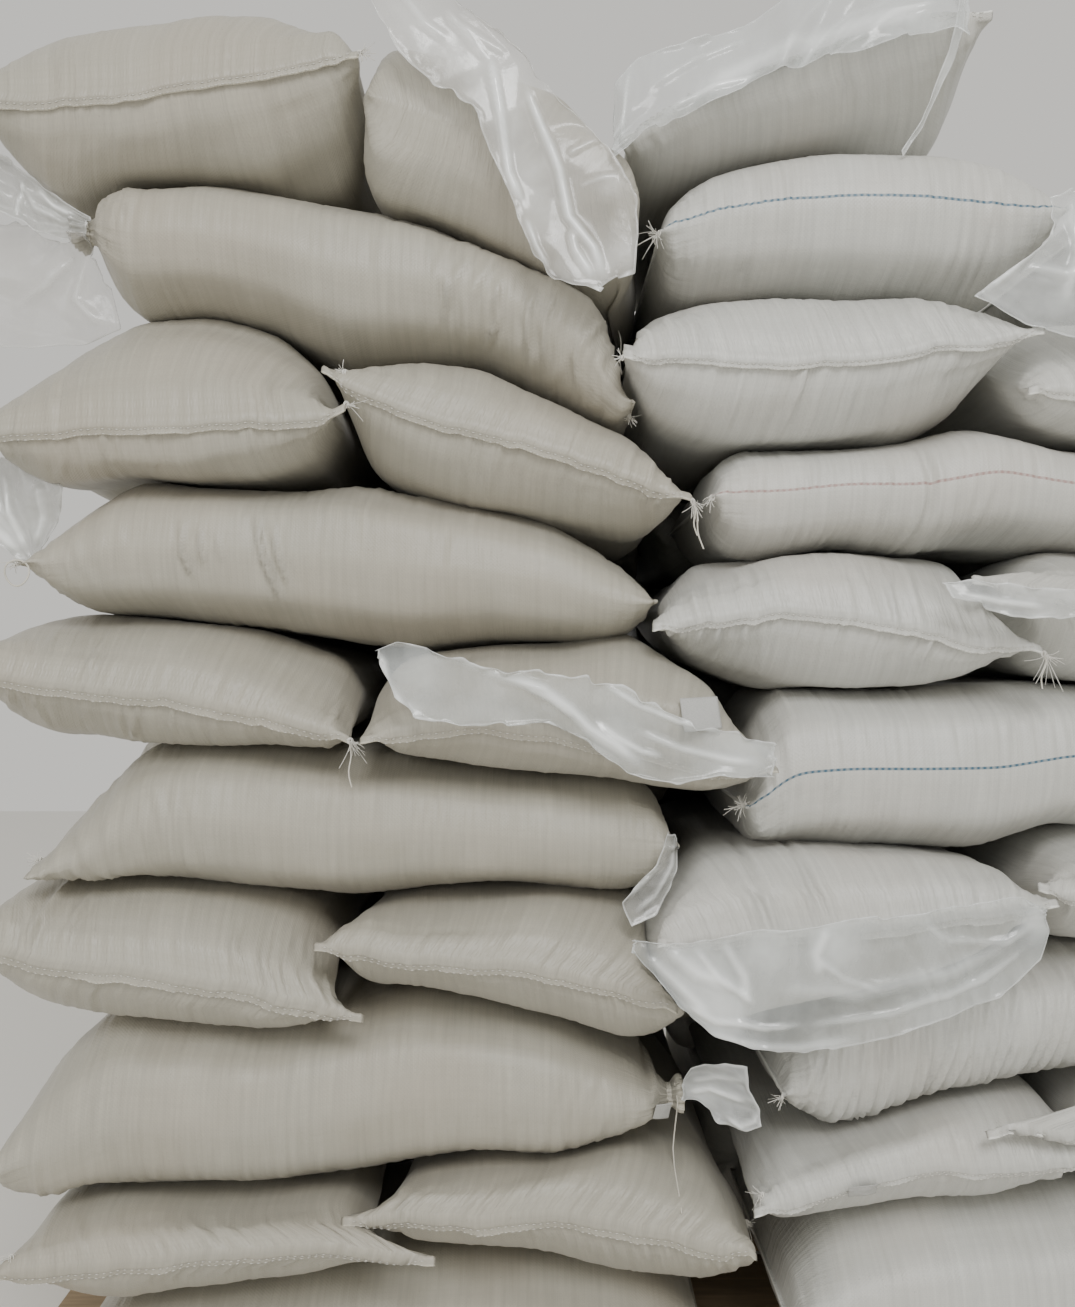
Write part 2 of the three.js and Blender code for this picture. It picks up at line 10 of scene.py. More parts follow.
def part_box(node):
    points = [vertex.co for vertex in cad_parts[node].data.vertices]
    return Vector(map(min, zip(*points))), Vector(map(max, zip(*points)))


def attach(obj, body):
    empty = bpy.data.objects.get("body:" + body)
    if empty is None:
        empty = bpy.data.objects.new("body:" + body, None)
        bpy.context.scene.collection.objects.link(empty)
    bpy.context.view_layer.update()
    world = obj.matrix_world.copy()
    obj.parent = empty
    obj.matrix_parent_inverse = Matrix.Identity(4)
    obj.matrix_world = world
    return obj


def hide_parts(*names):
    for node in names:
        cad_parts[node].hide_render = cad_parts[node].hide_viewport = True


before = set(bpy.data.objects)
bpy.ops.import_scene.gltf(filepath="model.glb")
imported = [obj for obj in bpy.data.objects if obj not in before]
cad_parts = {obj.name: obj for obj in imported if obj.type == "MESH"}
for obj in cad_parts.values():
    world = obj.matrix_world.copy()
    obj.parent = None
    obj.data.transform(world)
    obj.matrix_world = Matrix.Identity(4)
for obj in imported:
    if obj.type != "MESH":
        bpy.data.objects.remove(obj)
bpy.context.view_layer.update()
bpy.ops.object.select_all(action="DESELECT")

# The sacks' solids, in metres
HEM_DEPTH = 0.028
INNER_CLEAR = 0.001
END_LENGTH = 0.135
END_POWER = 0.62
RING_SHARES = (0.0, 0.1, 0.4, 1.0)
FRONT_INNER_END = 0.102
BACK_TIP = 0.735
BACK_INNER_END = -0.155
LEFT_BACK_SPAN = (-0.965, 0.070)
RIGHT_BACK_SPAN = (-0.080, 0.960)
NO_LIMITS = (-9.0, 9.0)
BACK_HALF_GAP = 0.002
MOUTH_SLAB = (-0.6215, -0.6105)
NO_HEM = 0.0

# How finely a sack is read from its solid, and how far its facets are rounded
SKY = 3.0
UNDER_ALL = -0.5
READ_STEP = 0.0083
READ_ACROSS = 56
READ_INSET = 0.9985
READ_OVERLAP = 0.0001
READ_MARGIN = 0.0005
SWELL_FADE = (0.05, 0.09)
ROUNDING = 0.015
SEAM_CLEAR = 0.012
SEAM_FADE = 0.045

# A skin's rows and columns: fine steps near a seam, plain ones where it shows and far ones where it is hidden
FINE_REACH = 0.06
PLAIN_REACH = 0.16
FAR_FADE = 0.12
FRONT_STEPS = (0.0045, 0.0068, 0.080)
SIDE_STEPS = (0.0042, 0.0047, 0.0047)
BACK_STEPS = (0.010, 0.017, 0.09)
FRONT_ROUND = 228
SIDE_ROUND = 64
BACK_ROUND = 46

# The sewn hem: its depth and thickness, where its rows lie, and how much further out a hanging hem starts
FRONT_HEM = 0.013
SIDE_HEM = 0.005
EAR_HEM = 0.011
EAR_LENGTH = 0.040
HEM_GAP = 0.0014
HEM_STAND = 0.0045
HEM_ROOT_HALF = 0.0032
HEM_EDGE_HALF = 0.0017
HEM_THINNING = 0.004
HEM_PINCH = 0.45
# Where on the hem's edge a painted highlight lies, and how much lighter it is painted
HEM_HIGHLIGHT_SPAN = (-0.0215, -0.0255)
HEM_EDGE_HIGHLIGHT = 1.55
HEM_BEND = 0.005
HEM_WAVE = (0.18, 0.060)
HEM_RIPPLE = (0.07, 0.016)
HEM_SHARES = (0.0, 0.12, 0.27, 0.43, 0.60, 0.76, 0.90, 1.0)
HEM_LIFT = 0.006
HEM_LIFT_FADE = 0.060
HEM_FORWARD = 0.018
HEM_FORWARD_FADE = 0.090
SEAM_SWAY = (0.0030, 0.050)
SEAM_PUCKER = (0.0011, 0.016)
SEAM_SWAY_FADE = 0.050
DOWN = -1.35

# Noise: the girth at which it repeats on hems and flat pieces, and the first seed of each kind of sack
FLAT_GIRTH = 4.0
END_ON_SEED = 1000
SIDE_ON_SEED = 3000
BACK_SEED = 5000
SEED_STEP = 40

# The tied neck of a sack whose mouth was twisted shut
NECK_ROWS = (0.0, 0.004, 0.009, 0.014, 0.018, 0.022, 0.027, 0.033)
NECK_FULL = 0.034
NECK_WAIST = 0.018
NECK_TIE = 0.014
NECK_TIE_REACH = 0.009
NECK_PLEATS = 11
NECK_PLEAT_HEIGHT = 0.13
NECK_TWIST = 60

# How the body of a sack differs from its solid: its taper, blunt ends, leaning and sinking tips, and filling
SIDE_TAPER = 0.06
SIDE_TAPER_DEPTHS = (-0.66, -0.28)
BLUNT_END = 0.060
LEAN_FADE = (0.03, 0.16)
SINK_FADE = (0.0, 0.11)
BODY_FADE = (0.0, 0.02)
LUMP_BROAD = (0.0032, 0.14, 0.16)
LUMP_NARROW = (0.0011, 0.055, 0.060)
TAPE_RELIEF = 0.00045
RIB_PITCH = 0.0125
RIB_HEIGHT = 0.0010
GATHER_WIDTHS = (0.0034, 0.0078)
GATHER_LEAN = 0.4
SIDE_GATHER_REACH = 0.10
SIDE_GATHER_LEAN = 0.3
BACK_GATHERS = (16, 0.0030, 0.10)
BACK_LUMPS = 1.2
BACK_TURN = -1.2
END_CREASE_FADE = (0.16, 0.22)
SIDE_CREASE_FADE = (0.14, 0.2)

# The sewing thread, its stitches and frays, and the twine
STITCH_ROWS = (1, 4)
STITCH_PITCH = 0.009
STITCH_LENGTH = 0.0065
STITCH_HALF = 0.0007
STITCH_LIFT = 0.0006
THREAD = 0.00045
FRAY_SPREAD = 0.45
FRAY_CURL = 0.55
FRAY_DROOP = 0.25
KNOT_LOOPS = 5
KNOT_SIZES = (0.0020, 0.0042)
TWINE = 0.0012
TWINE_TURNS = 3
TAIL_HALF = 0.8 * TWINE
TAIL_CLEAR = 0.003
TAIL_SWAY = 0.002
TAIL_STAND = 0.006
TAIL_RETURN = 0.02
NEAR_FACE = -0.45
NEARER = 0.05

# The coloured tapes of a striped sack, along the middle of its face
STRIPE_PLACE = 0.006
STRIPE_HALF = 0.0022
STRIPE_TAPE = 0.0042

# Films and cards: where rays start, how close they lie, and how milky their folds and edges are, partly
# painted highlight
IN_FRONT = -1.5
NOTHING_BEHIND = 9.0
FILM_CLING = 0.003
FILM_HALF = 0.0003
FILM_BLUR = 2.5
FILM_FRILL_FADE = 0.010
FINE_FACETS = (0.3, 2.2)
FILM_CREASE_MILK_AND_HIGHLIGHT = 0.30
FILM_SHARP_BEND = 0.0020
FILM_EDGE_MILK_AND_HIGHLIGHT = 0.7
FILM_EDGE = (0.001, 0.0035)
CARD_SIZE = (14, 18)
CARD_CLEAR = 0.002
CARD_FREE = -0.690
CARD_TILT = 0.015

# Colours
IVORY = (0.412, 0.392, 0.330)
WHITE = (0.565, 0.565, 0.53)
BLUE_TAPE = (0.04, 0.11, 0.17)
RED_TAPE = (0.36, 0.24, 0.22)
# The white of milky film, also used for its painted highlights
FILM_WHITE = (0.93, 0.95, 0.94)
STAIN_TONE = (0.30, 0.27, 0.20)
SPECK_TONE = (0.22, 0.18, 0.13)
WOOD_STAIN_TONE = (0.12, 0.10, 0.08)
ROOM_TONE = (0.80, 0.785, 0.745, 1.0)

# The camera, level and square to the face of the stack
CAMERA_PLACE = (-0.2205, -2.300, 1.207)
CAMERA_LENS = 33.45
CAMERA_SENSOR = 36.0
LIGHT_AIM = (0.0, -0.3, 1.5)


def smooth(value, low, high):
    """0 below low, 1 above high, and a soft step between."""
    t = np.clip((np.asarray(value, float) - low) / (high - low), 0.0, 1.0)
    return t * t * (3 - 2 * t)


def blurred(values, sigma, axis, around=False):
    """Values averaged with their neighbours along one axis, sigma in steps."""
    count = values.shape[axis]
    reach = int(3 * sigma) + 1
    total = 0.0
    weights = 0.0
    for offset in range(-reach, reach + 1):
        places = np.arange(count) + offset
        places = places % count if around else np.clip(places, 0, count - 1)
        weight = math.exp(-offset * offset / (2 * sigma * sigma))
        total = total + weight * np.take(values, places, axis=axis)
        weights += weight
    return total / weights


def between(values, index, around=False):
    """Rows of values at fractional row numbers, on a smooth curve through the rows."""
    count = len(values)
    low = np.floor(index).astype(int)
    t = (index - low).reshape((-1,) + (1,) * (values.ndim - 1))
    rows = []
    for offset in (-1, 0, 1, 2):
        places = low + offset
        places = places % count if around else np.clip(places, 0, count - 1)
        rows.append(values[places])
    a, b, c, d = rows
    return b + 0.5 * t * (c - a + t * (2 * a - 5 * b + 4 * c - d + t * (3 * (b - c) + d - a)))


def evenly(line, count):
    """A line of points resampled to so many, evenly spaced along it."""
    line = np.asarray(line, float)
    steps = np.linalg.norm(np.diff(line, axis=0), axis=1)
    run = np.concatenate([[0.0], np.cumsum(steps)])
    wanted = np.linspace(0.0, run[-1], count)
    return np.column_stack([np.interp(wanted, run, line[:, k]) for k in range(line.shape[1])])


def cloth_noise(seed, u, v, girth, size_u, size_v):
    """Smooth noise of about -1 to 1 on cloth, u along it and v round it, with features of two sizes."""
    rng = np.random.default_rng(seed)
    around = max(4, int(round(girth / size_v)))
    long = int(2.6 / size_u) + 4
    table = rng.standard_normal((long, around))
    u, v = np.broadcast_arrays(u, v)
    a = (u + 0.2) / size_u
    b = v / girth * around
    ia = np.floor(a).astype(int)
    ib = np.floor(b).astype(int)
    ta = a - ia
    tb = b - ib
    ta = ta * ta * (3 - 2 * ta)
    tb = tb * tb * (3 - 2 * tb)
    ia = np.clip(ia, 0, long - 2)
    rows = []
    for row in (ia, ia + 1):
        rows.append(table[row, ib % around] * (1 - tb) + table[row, (ib + 1) % around] * tb)
    return rows[0] * (1 - ta) + rows[1] * ta


def line_noise(seed, place, size):
    """The same noise along a hem, at places in metres, with features of one size."""
    return cloth_noise(seed, 0.5, place + 2.0, FLAT_GIRTH, 0.3, size)


def flat_noise(seed, a, b, size_a, size_b):
    """The same noise on a flat piece, with features of the given sizes."""
    return cloth_noise(seed, a, b, FLAT_GIRTH, size_a, size_b)


# Folds in cloth

def ridge(offset, width):
    """A raised fold with a shallow valley at each side of it, at offsets from its line."""
    s = (offset / width) ** 2
    return (1 - s) * np.exp(-s / 2)


def round_the_sack(offset, girth):
    """The shorter way round to a place at the girth's length."""
    return (offset + girth / 2) % girth - girth / 2


def gathers(d, v, girth, seed, count, height, reach, lean=GATHER_LEAN):
    """Short folds that run away from a sewn hem, on both faces, closest at the ears; d is from the seam."""
    rng = np.random.default_rng(seed)
    busy = rng.uniform(0.25, 1.0, 16)
    total = 0.0
    for number in range(count):
        place = rng.uniform(-girth / 2, girth / 2)
        if number % 3 == 0:
            place = girth / 2 * (number % 2) + rng.normal(0.0, 0.09)
        width = rng.uniform(*GATHER_WIDTHS)
        long = reach * rng.uniform(0.3, 1.0)
        slant = rng.uniform(-lean, lean)
        spot = int((place / girth + 0.5) * len(busy)) % len(busy)
        strength = height * rng.uniform(0.3, 1.1) * busy[spot]
        offset = round_the_sack(v - place - slant * d, girth)
        window = (0.35 + 0.65 * smooth(d, -0.004, 0.008)) * (1 - smooth(d, 0.2 * long, long))
        total = total + strength * ridge(offset, width) * window
    return total


def patchy_ribs(u, v, girth, seed, height):
    """Slack tapes that stand up as ribs round a sack, in patches."""
    sway = 0.25 * RIB_PITCH * cloth_noise(seed, u, v, girth, 0.05, 0.07)
    ribs = cloth_noise(seed + 1, u + sway, v, girth, RIB_PITCH / 2, 0.16)
    patch = smooth(cloth_noise(seed + 2, u, v, girth, 0.13, 0.11), -0.2, 0.9)
    return height * (0.35 + 0.65 * patch) * np.sign(ribs) * np.abs(ribs) ** 1.3


def girth_folds(u, v, seed, span, pitch, height, reach, slant=0.0):
    """Long folds that run round a sack side by side, over a span of its length and a reach round it."""
    rng = np.random.default_rng(seed)
    total = 0.0
    place = span[0]
    middle = (reach[0] + reach[1]) / 2
    while place < span[1]:
        width = pitch * rng.uniform(0.22, 0.36)
        low = reach[0] + rng.uniform(-0.2, 0.3) * (reach[1] - reach[0])
        high = reach[1] - rng.uniform(-0.2, 0.3) * (reach[1] - reach[0])
        strength = height * rng.uniform(0.35, 1.0)
        wobble = 0.25 * pitch * np.sin(v * rng.uniform(18, 40) + rng.uniform(0, 6))
        offset = u - place - slant * (v - middle) - wobble
        window = smooth(v, low, low + 0.045) * (1 - smooth(v, high - 0.045, high))
        total = total + strength * ridge(offset, width) * window
        place += pitch * rng.uniform(0.75, 1.3)
    return total


def off_line(x, z, line):
    """How far points lie to one side of a line of x, z points, and how far along it, as a share."""
    best = np.full(x.shape, 9.0)
    side = np.zeros(x.shape)
    run = np.zeros(x.shape)
    line = np.asarray(line, float)
    lengths = np.linalg.norm(np.diff(line, axis=0), axis=1)
    whole = lengths.sum()
    done = 0.0
    for start, end, long in zip(line[:-1], line[1:], lengths):
        way = (end - start) / long
        t = np.clip((x - start[0]) * way[0] + (z - start[1]) * way[1], 0.0, long)
        dx = x - start[0] - way[0] * t
        dz = z - start[1] - way[1] * t
        distance = np.hypot(dx, dz)
        nearer = distance < best
        best = np.where(nearer, distance, best)
        side = np.where(nearer, distance * np.sign(dx * way[1] - dz * way[0]), side)
        run = np.where(nearer, (done + t) / whole, run)
        done += long
    return side, run


def crease(x, z, line, width, height):
    """One soft fold along a line of x, z points on the face of the stack, fading at its ends."""
    side, run = off_line(x, z, line)
    window = smooth(run, 0.0, 0.3) * (1 - smooth(run, 0.7, 1.0))
    return height * ridge(side, width) * window


# Reading a sack's solid

def solid_of(node):
    """A node's solid: its points, its edges and a tree for rays."""
    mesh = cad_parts[node].data
    points = np.array([tuple(v.co) for v in mesh.vertices])
    edges = np.array([tuple(e.vertices) for e in mesh.edges])
    faces = [tuple(p.vertices) for p in mesh.polygons]
    return points, edges, BVHTree.FromPolygons(points.tolist(), faces)


def sides_at(points, edges, along, place):
    """How far a solid reaches to both sides at one place along it."""
    a = points[edges[:, 0]]
    b = points[edges[:, 1]]
    crossed = (a[:, along] - place) * (b[:, along] - place) < 0
    a = a[crossed]
    b = b[crossed]
    t = (place - a[:, along]) / (b[:, along] - a[:, along])
    across = a[:, 1 - along] + t * (b[:, 1 - along] - a[:, 1 - along])
    return across.min(), across.max()


def section_at(solid, along, place, limits):
    """The ring of a solid's section: from its low side over the top to its high side, and back below."""
    points, edges, tree = solid
    low, high = sides_at(points, edges, along, place)
    low = max(low, limits[0])
    high = min(high, limits[1])
    share = np.sin(np.linspace(-0.5, 0.5, READ_ACROSS) * math.pi)
    across = (low + high) / 2 + (high - low) / 2 * share * READ_INSET
    heights = []
    for start, way in ((SKY, -1.0), (UNDER_ALL, 1.0)):
        line = []
        for q in across:
            spot = (place, q, start) if along == 0 else (q, place, start)
            hit = tree.ray_cast(Vector(spot), Vector((0.0, 0.0, way)))[0]
            line.append(math.nan if hit is None else hit.z)
        line = np.array(line)
        if along == 0:
            line[(across > MOUTH_SLAB[0]) & (across < MOUTH_SLAB[1])] = math.nan
        found = ~np.isnan(line)
        heights.append(np.interp(across, across[found], line[found]))
    top, bottom = heights
    middle = (top + bottom) / 2
    line_top = np.column_stack([across, top])
    line_bottom = np.column_stack([across, bottom])
    first = [[low, middle[0]]]
    last = [[high, middle[-1]]]
    over = evenly(np.vstack([first, line_top, last]), READ_ACROSS)
    back = evenly(np.vstack([last, line_bottom[::-1], first]), READ_ACROSS)
    return np.vstack([over, back[1:-1]])


def end_fill(distance, end_length, power):
    """How much fuller the smooth end of a sack is than its solid's straight facets."""
    t = np.clip(distance / end_length, 0.0, 1.0)
    curve = (1 - (1 - t) ** 2) ** power
    knots = np.array(RING_SHARES)
    facets = np.interp(t, knots, (1 - (1 - knots) ** 2) ** END_POWER)
    return curve / np.maximum(facets, 1e-4)


def rounded_body(node, along, seam, way, length, limits, both_ends, tapers, power):
    """A sack's body as rings read from its solid, with the facets rounded, and the rings' distances."""
    solid = solid_of(node)
    distances = np.arange(-READ_OVERLAP, length - READ_MARGIN, READ_STEP)
    if both_ends:
        distances = np.append(distances, length + READ_OVERLAP)
    rings = np.array([section_at(solid, along, seam + way * d, limits) for d in distances])
    middles = (rings + rings[:, (-np.arange(rings.shape[1])) % rings.shape[1]]) / 2
    from_seam = np.minimum(distances, length - distances) if both_ends else distances
    from_seam = np.maximum(from_seam, 0.0)
    at_start = distances < length / 2 if both_ends else distances < length
    fills = [end_fill(from_seam, taper, power) for taper in tapers]
    swell = np.where(at_start, *fills)
    swell = 1 + (swell - 1) * (1 - smooth(from_seam, *SWELL_FADE))
    swell[from_seam < 1e-3] = 1.0
    rings[:, :, 1] = middles[:, :, 1] + (rings[:, :, 1] - middles[:, :, 1]) * swell[:, None]
    girth = np.hypot(*np.diff(rings[len(rings) // 2], axis=0).T).sum()
    step = girth / rings.shape[1]
    soft = blurred(rings, ROUNDING / step, 1, around=True)
    soft = blurred(soft, ROUNDING / READ_STEP, 0)
    gentle = blurred(rings, 0.5 * ROUNDING / step, 1, around=True)
    mix = smooth(from_seam, SEAM_CLEAR, SEAM_FADE)[:, None, None]
    near = smooth(from_seam, 0.0, SEAM_CLEAR)[:, None, None]
    rings = (rings * (1 - near) + gentle * near) * (1 - mix) + soft * mix
    return distances, rings, girth


# Building a sack as one closed skin

def row_places(length, both_ends, fine, plain, far):
    """Distances of a body's rows from its seam, in fine, plain or far steps."""
    places = [0.0]
    while places[-1] < length - fine / 2:
        d = min(places[-1], length - places[-1]) if both_ends else places[-1]
        if d < FINE_REACH:
            step = fine
        elif both_ends or d < PLAIN_REACH:
            step = plain
        else:
            step = plain + (far - plain) * min(1.0, (d - PLAIN_REACH) / FAR_FADE)
        places.append(min(places[-1] + step, length))
    if length - places[-1] > 1e-6:
        places.append(length)
    return np.array(places)


def middle_of(ring):
    """The ring of points half way between each point of a ring and the one below or above it."""
    partner = (-np.arange(len(ring))) % len(ring)
    return (ring + ring[partner]) / 2


def hem_half(share, depth):
    """Half the thickness of a hem at a share of its depth; its last row is pinched."""
    half = HEM_EDGE_HALF + (HEM_ROOT_HALF - HEM_EDGE_HALF) * math.exp(-share * depth / HEM_THINNING)
    return half * HEM_PINCH if share == 1.0 else half


def hem_rows(ring, along, way, turn, depth, seed):
    """The flat sewn hem beyond a seam: rows from its root to its edge, bent up or down by the turn."""
    middle = middle_of(ring)
    half = np.sign(ring[:, 2] - middle[:, 2])
    place = middle[:, 1 - along]
    wave = line_noise(seed, place, HEM_WAVE[1])
    ripple = line_noise(seed + 1, place, HEM_RIPPLE[1])
    angle = turn + HEM_WAVE[0] * wave + HEM_RIPPLE[0] * ripple
    rows = []
    out = np.zeros(len(ring))
    up = np.zeros(len(ring))
    last = 0.0
    for share in HEM_SHARES[1:]:
        e = share * depth
        bend = angle * smooth(e, 0.0, HEM_BEND)
        reach = (e - last) * (1 + 0.06 * wave + 0.04 * ripple)
        out = out + reach * np.cos(bend)
        up = up + reach * np.sin(bend)
        last = e
        thick = hem_half(share, depth)
        row = middle.copy()
        row[:, along] -= way * (out - half * thick * np.sin(bend))
        row[:, 2] += up + half * thick * np.cos(bend)
        rows.append(row)
    return np.array(rows)


def lying_hem_rows(body, along, turn, depth, seed):
    """The same hem where it lies folded against the body, below its seam or above it."""
    count = body.shape[1]
    places = np.arange(count)
    partner = (-places) % count
    over = places < count // 2
    carrier = np.where(over == (turn < 0), partner, places)
    outer = over == (turn < 0)
    path = body[:, carrier]
    normal = outward(body)[1, carrier]
    run = np.vstack([np.zeros(count), np.cumsum(np.linalg.norm(np.diff(path, axis=0), axis=2), axis=0)])
    place = path[0, :, 1 - along]
    stand = HEM_STAND * np.clip(0.3 + 0.7 * line_noise(seed, place, 0.045), 0.0, 1.6)
    ripple = line_noise(seed + 1, place, 0.014)
    rows = []
    for share in HEM_SHARES[1:]:
        e = share * depth * (1 + 0.05 * ripple)
        spot = np.array([[np.interp(e[j], run[:, j], path[:, j, k]) for k in range(3)] for j in places])
        thick = 2 * hem_half(share, depth)
        lift = HEM_GAP + stand * share ** 2 + np.where(outer, thick, 0.0)
        rows.append(spot + normal * lift[:, None])
    return np.array(rows)


def front_hem_rows(body, along, way, turn, depth, seed):
    """A front hem: it lies against the body, and its two ears stand free."""
    lying = lying_hem_rows(body[:12], along, turn, depth, seed)
    free = hem_rows(body[0], along, way, turn, EAR_HEM, seed)
    across = body[0, :, 1 - along]
    from_ear = np.minimum(across - across.min(), across.max() - across)
    standing = (1 - smooth(from_ear, 0.3 * EAR_LENGTH, EAR_LENGTH))[None, :, None]
    return lying * (1 - standing) + free * standing


def neck_rows(ring, along, way, seed):
    """The twisted neck beyond the body of a tied sack, pulled in to a waist with pleats."""
    centre = ring.mean(axis=0)
    offset = ring - centre
    angle = np.arctan2(offset[:, 2], offset[:, 1 - along])
    rng = np.random.default_rng(seed)
    shift = rng.uniform(0, 6)
    rows = []
    for e in NECK_ROWS[1:]:
        waist = math.exp(-((e - NECK_TIE) / NECK_TIE_REACH) ** 2)
        size = 1 - (1 - NECK_WAIST / NECK_FULL) * waist
        pleat = NECK_PLEAT_HEIGHT * np.cos(NECK_PLEATS * angle + shift + e * NECK_TWIST)
        row = centre + offset * (size * (1 + pleat * smooth(e, 0.0, 0.008)))[:, None]
        row[:, along] = ring[:, along] - way * e
        rows.append(row)
    return np.array(rows)


def grid_faces(rows, count):
    """Quads over a stack of rings, and a strip that closes each end."""
    r = np.arange(rows - 1)[:, None] * count
    j = np.arange(count)[None, :]
    k = (j + 1) % count
    quads = np.stack([r + j, r + k, r + count + k, r + count + j], axis=-1).reshape(-1, 4)
    strips = []
    for base, turned in ((0, True), ((rows - 1) * count, False)):
        for i in range(count // 2):
            below = ((count - i - 1) % count, (count - i) % count)
            face = [base + i, base + i + 1, base + below[0], base + below[1]]
            face = list(dict.fromkeys(face))
            strips.append(face[::-1] if turned else face)
    return quads, strips


def outward(grid):
    """Normals of a grid of rings, pointing out of the skin."""
    around = np.roll(grid, -1, axis=1) - np.roll(grid, 1, axis=1)
    along = np.gradient(grid, axis=0)
    normal = np.cross(around, along)
    normal /= np.maximum(np.linalg.norm(normal, axis=2, keepdims=True), 1e-9)
    middle = grid.mean(axis=1, keepdims=True)
    return normal if ((grid - middle) * normal).sum() > 0 else -normal


def link(name, mesh, material):
    """A mesh as a smooth object of the scene."""
    mesh.shade_smooth()
    mesh.materials.append(material)
    piece = bpy.data.objects.new(name, mesh)
    bpy.context.scene.collection.objects.link(piece)
    return piece


def skin_object(name, grid, u, v, seam, material):
    """A closed skin from a grid of rings, with its cloth map in metres and its distance from the seam."""
    rows, count = grid.shape[:2]
    quads, strips = grid_faces(rows, count)
    left = np.where(np.arange(count) == count // 2, -abs(v[count // 2]), v)
    right = np.append(v[1:], 0.0)
    low = np.repeat(u[:-1], count)
    high = np.repeat(u[1:], count)
    quad_u = np.stack([low, low, high, high], axis=-1)
    quad_v = np.stack([np.tile(left, rows - 1), np.tile(right, rows - 1)] * 2, axis=-1)[:, [0, 1, 3, 2]]
    map_u = [quad_u.reshape(-1)]
    map_v = [quad_v.reshape(-1)]
    for strip in strips:
        map_u.append(u[np.array(strip) // count])
        map_v.append(np.abs(v[np.array(strip) % count]))
    points = grid.reshape(-1, 3)
    mesh = bpy.data.meshes.new(name)
    mesh.from_pydata(points.tolist(), [], quads.tolist() + strips)
    cloth = mesh.uv_layers.new(name="cloth")
    both = np.column_stack([np.concatenate(map_u), np.concatenate(map_v)])
    cloth.data.foreach_set("uv", both.astype(np.float32).reshape(-1))
    mark = mesh.attributes.new("seam", "FLOAT", "POINT")
    mark.data.foreach_set("value", np.repeat(seam, count).astype(np.float32))
    a, b, c = points[quads[:, 0]], points[quads[:, 1]], points[quads[:, 2]]
    if np.einsum("ij,ij->i", a, np.cross(b, c)).sum() < 0:
        mesh.flip_normals()
    return link(name, mesh, material)


def sack_grid(node, along, seam, way, length, shares, both_ends, ends, seed, steps, limits=NO_LIMITS,
              tapers=(END_LENGTH, END_LENGTH), power=END_POWER, forward=HEM_FORWARD):
    """A sack's bare skin: its rings, places along and round the cloth, distances from a seam, and girth."""
    distances, rings, girth = rounded_body(node, along, seam, way, length, limits, both_ends, tapers, power)
    wanted = row_places(length, both_ends, *steps)
    index = np.interp(wanted, distances, np.arange(len(distances)))
    body = between(rings, index)
    body = np.swapaxes(between(np.swapaxes(body, 0, 1), shares * rings.shape[1], around=True), 0, 1)
    grid = np.empty(body.shape[:2] + (3,))
    grid[:, :, 1 - along] = body[:, :, 0]
    grid[:, :, 2] = body[:, :, 1]
    grid[:, :, along] = (seam + way * wanted)[:, None]
    pieces = []
    run = [HEM_DEPTH + wanted]
    from_seam = [np.minimum(wanted, length - wanted) if both_ends else wanted]
    sewn = both_ends or ends[0][1] > NO_HEM
    if not both_ends:
        lift = HEM_LIFT * -math.sin(ends[0][0]) * (1 - smooth(wanted, 0.0, HEM_LIFT_FADE))
        grid[:, :, 2] += lift[:, None]
        grid[:, :, along] -= (way * forward * (1 - smooth(wanted, 0.0, HEM_FORWARD_FADE)))[:, None]
        place = grid[0, :, 1 - along]
        sway = SEAM_SWAY[0] * sewn * line_noise(seed + 7, place, SEAM_SWAY[1])
        sway = sway + SEAM_PUCKER[0] * sewn * line_noise(seed + 8, place, SEAM_PUCKER[1])
        grid[:, :, 2] += (1 - smooth(wanted, 0.0, SEAM_SWAY_FADE))[:, None] * sway[None, :]
    for number, end in enumerate(ends if sewn else ()):
        ring = grid[0] if number == 0 else grid[-1]
        outward_way = way if number == 0 else -way
        if end == "tied":
            rows = neck_rows(ring, along, outward_way, seed)
            edges = np.array(NECK_ROWS[1:])
        elif both_ends:
            rows = hem_rows(ring, along, outward_way, *end, seed + 3 * number)
            edges = np.array(HEM_SHARES[1:]) * HEM_DEPTH
        else:
            rows = front_hem_rows(grid, along, outward_way, *end, seed + 3 * number)
            edges = np.array(HEM_SHARES[1:]) * HEM_DEPTH
        if number == 0:
            pieces.insert(0, rows[::-1])
            run.insert(0, HEM_DEPTH - edges[::-1])
            from_seam.insert(0, -edges[::-1])
        else:
            pieces.append(rows)
            run.append(HEM_DEPTH + length + edges)
            from_seam.append(-edges)
    pieces.insert(1 if sewn else 0, grid)
    u = np.concatenate(run)
    v = np.where(shares <= 0.5, shares, shares - 1.0) * girth
    return np.concatenate(pieces), u, v, np.concatenate(from_seam), girth


def front_dense_shares(count):
    """Places round a ring, close together at its front and wide apart at its back."""
    t = np.linspace(-1.0, 1.0, count + 1)[:-1]
    shares = 0.5 * (0.32 * t + 0.68 * t ** 3)
    return np.sort(shares % 1.0)


def even_shares(count):
    """Places evenly round a ring."""
    return np.arange(count) / count


# Shader node groups

def new_group(name, inputs, outputs):
    """An empty shader node group, with its named inputs and outputs."""
    group = bpy.data.node_groups.new(name, "ShaderNodeTree")
    for label, kind, value in inputs:
        socket = group.interface.new_socket(name=label, in_out="INPUT", socket_type=kind)
        if value is not None:
            socket.default_value = value
    for label, kind in outputs:
        group.interface.new_socket(name=label, in_out="OUTPUT", socket_type=kind)
    return group, group.nodes.new("NodeGroupInput"), group.nodes.new("NodeGroupOutput")


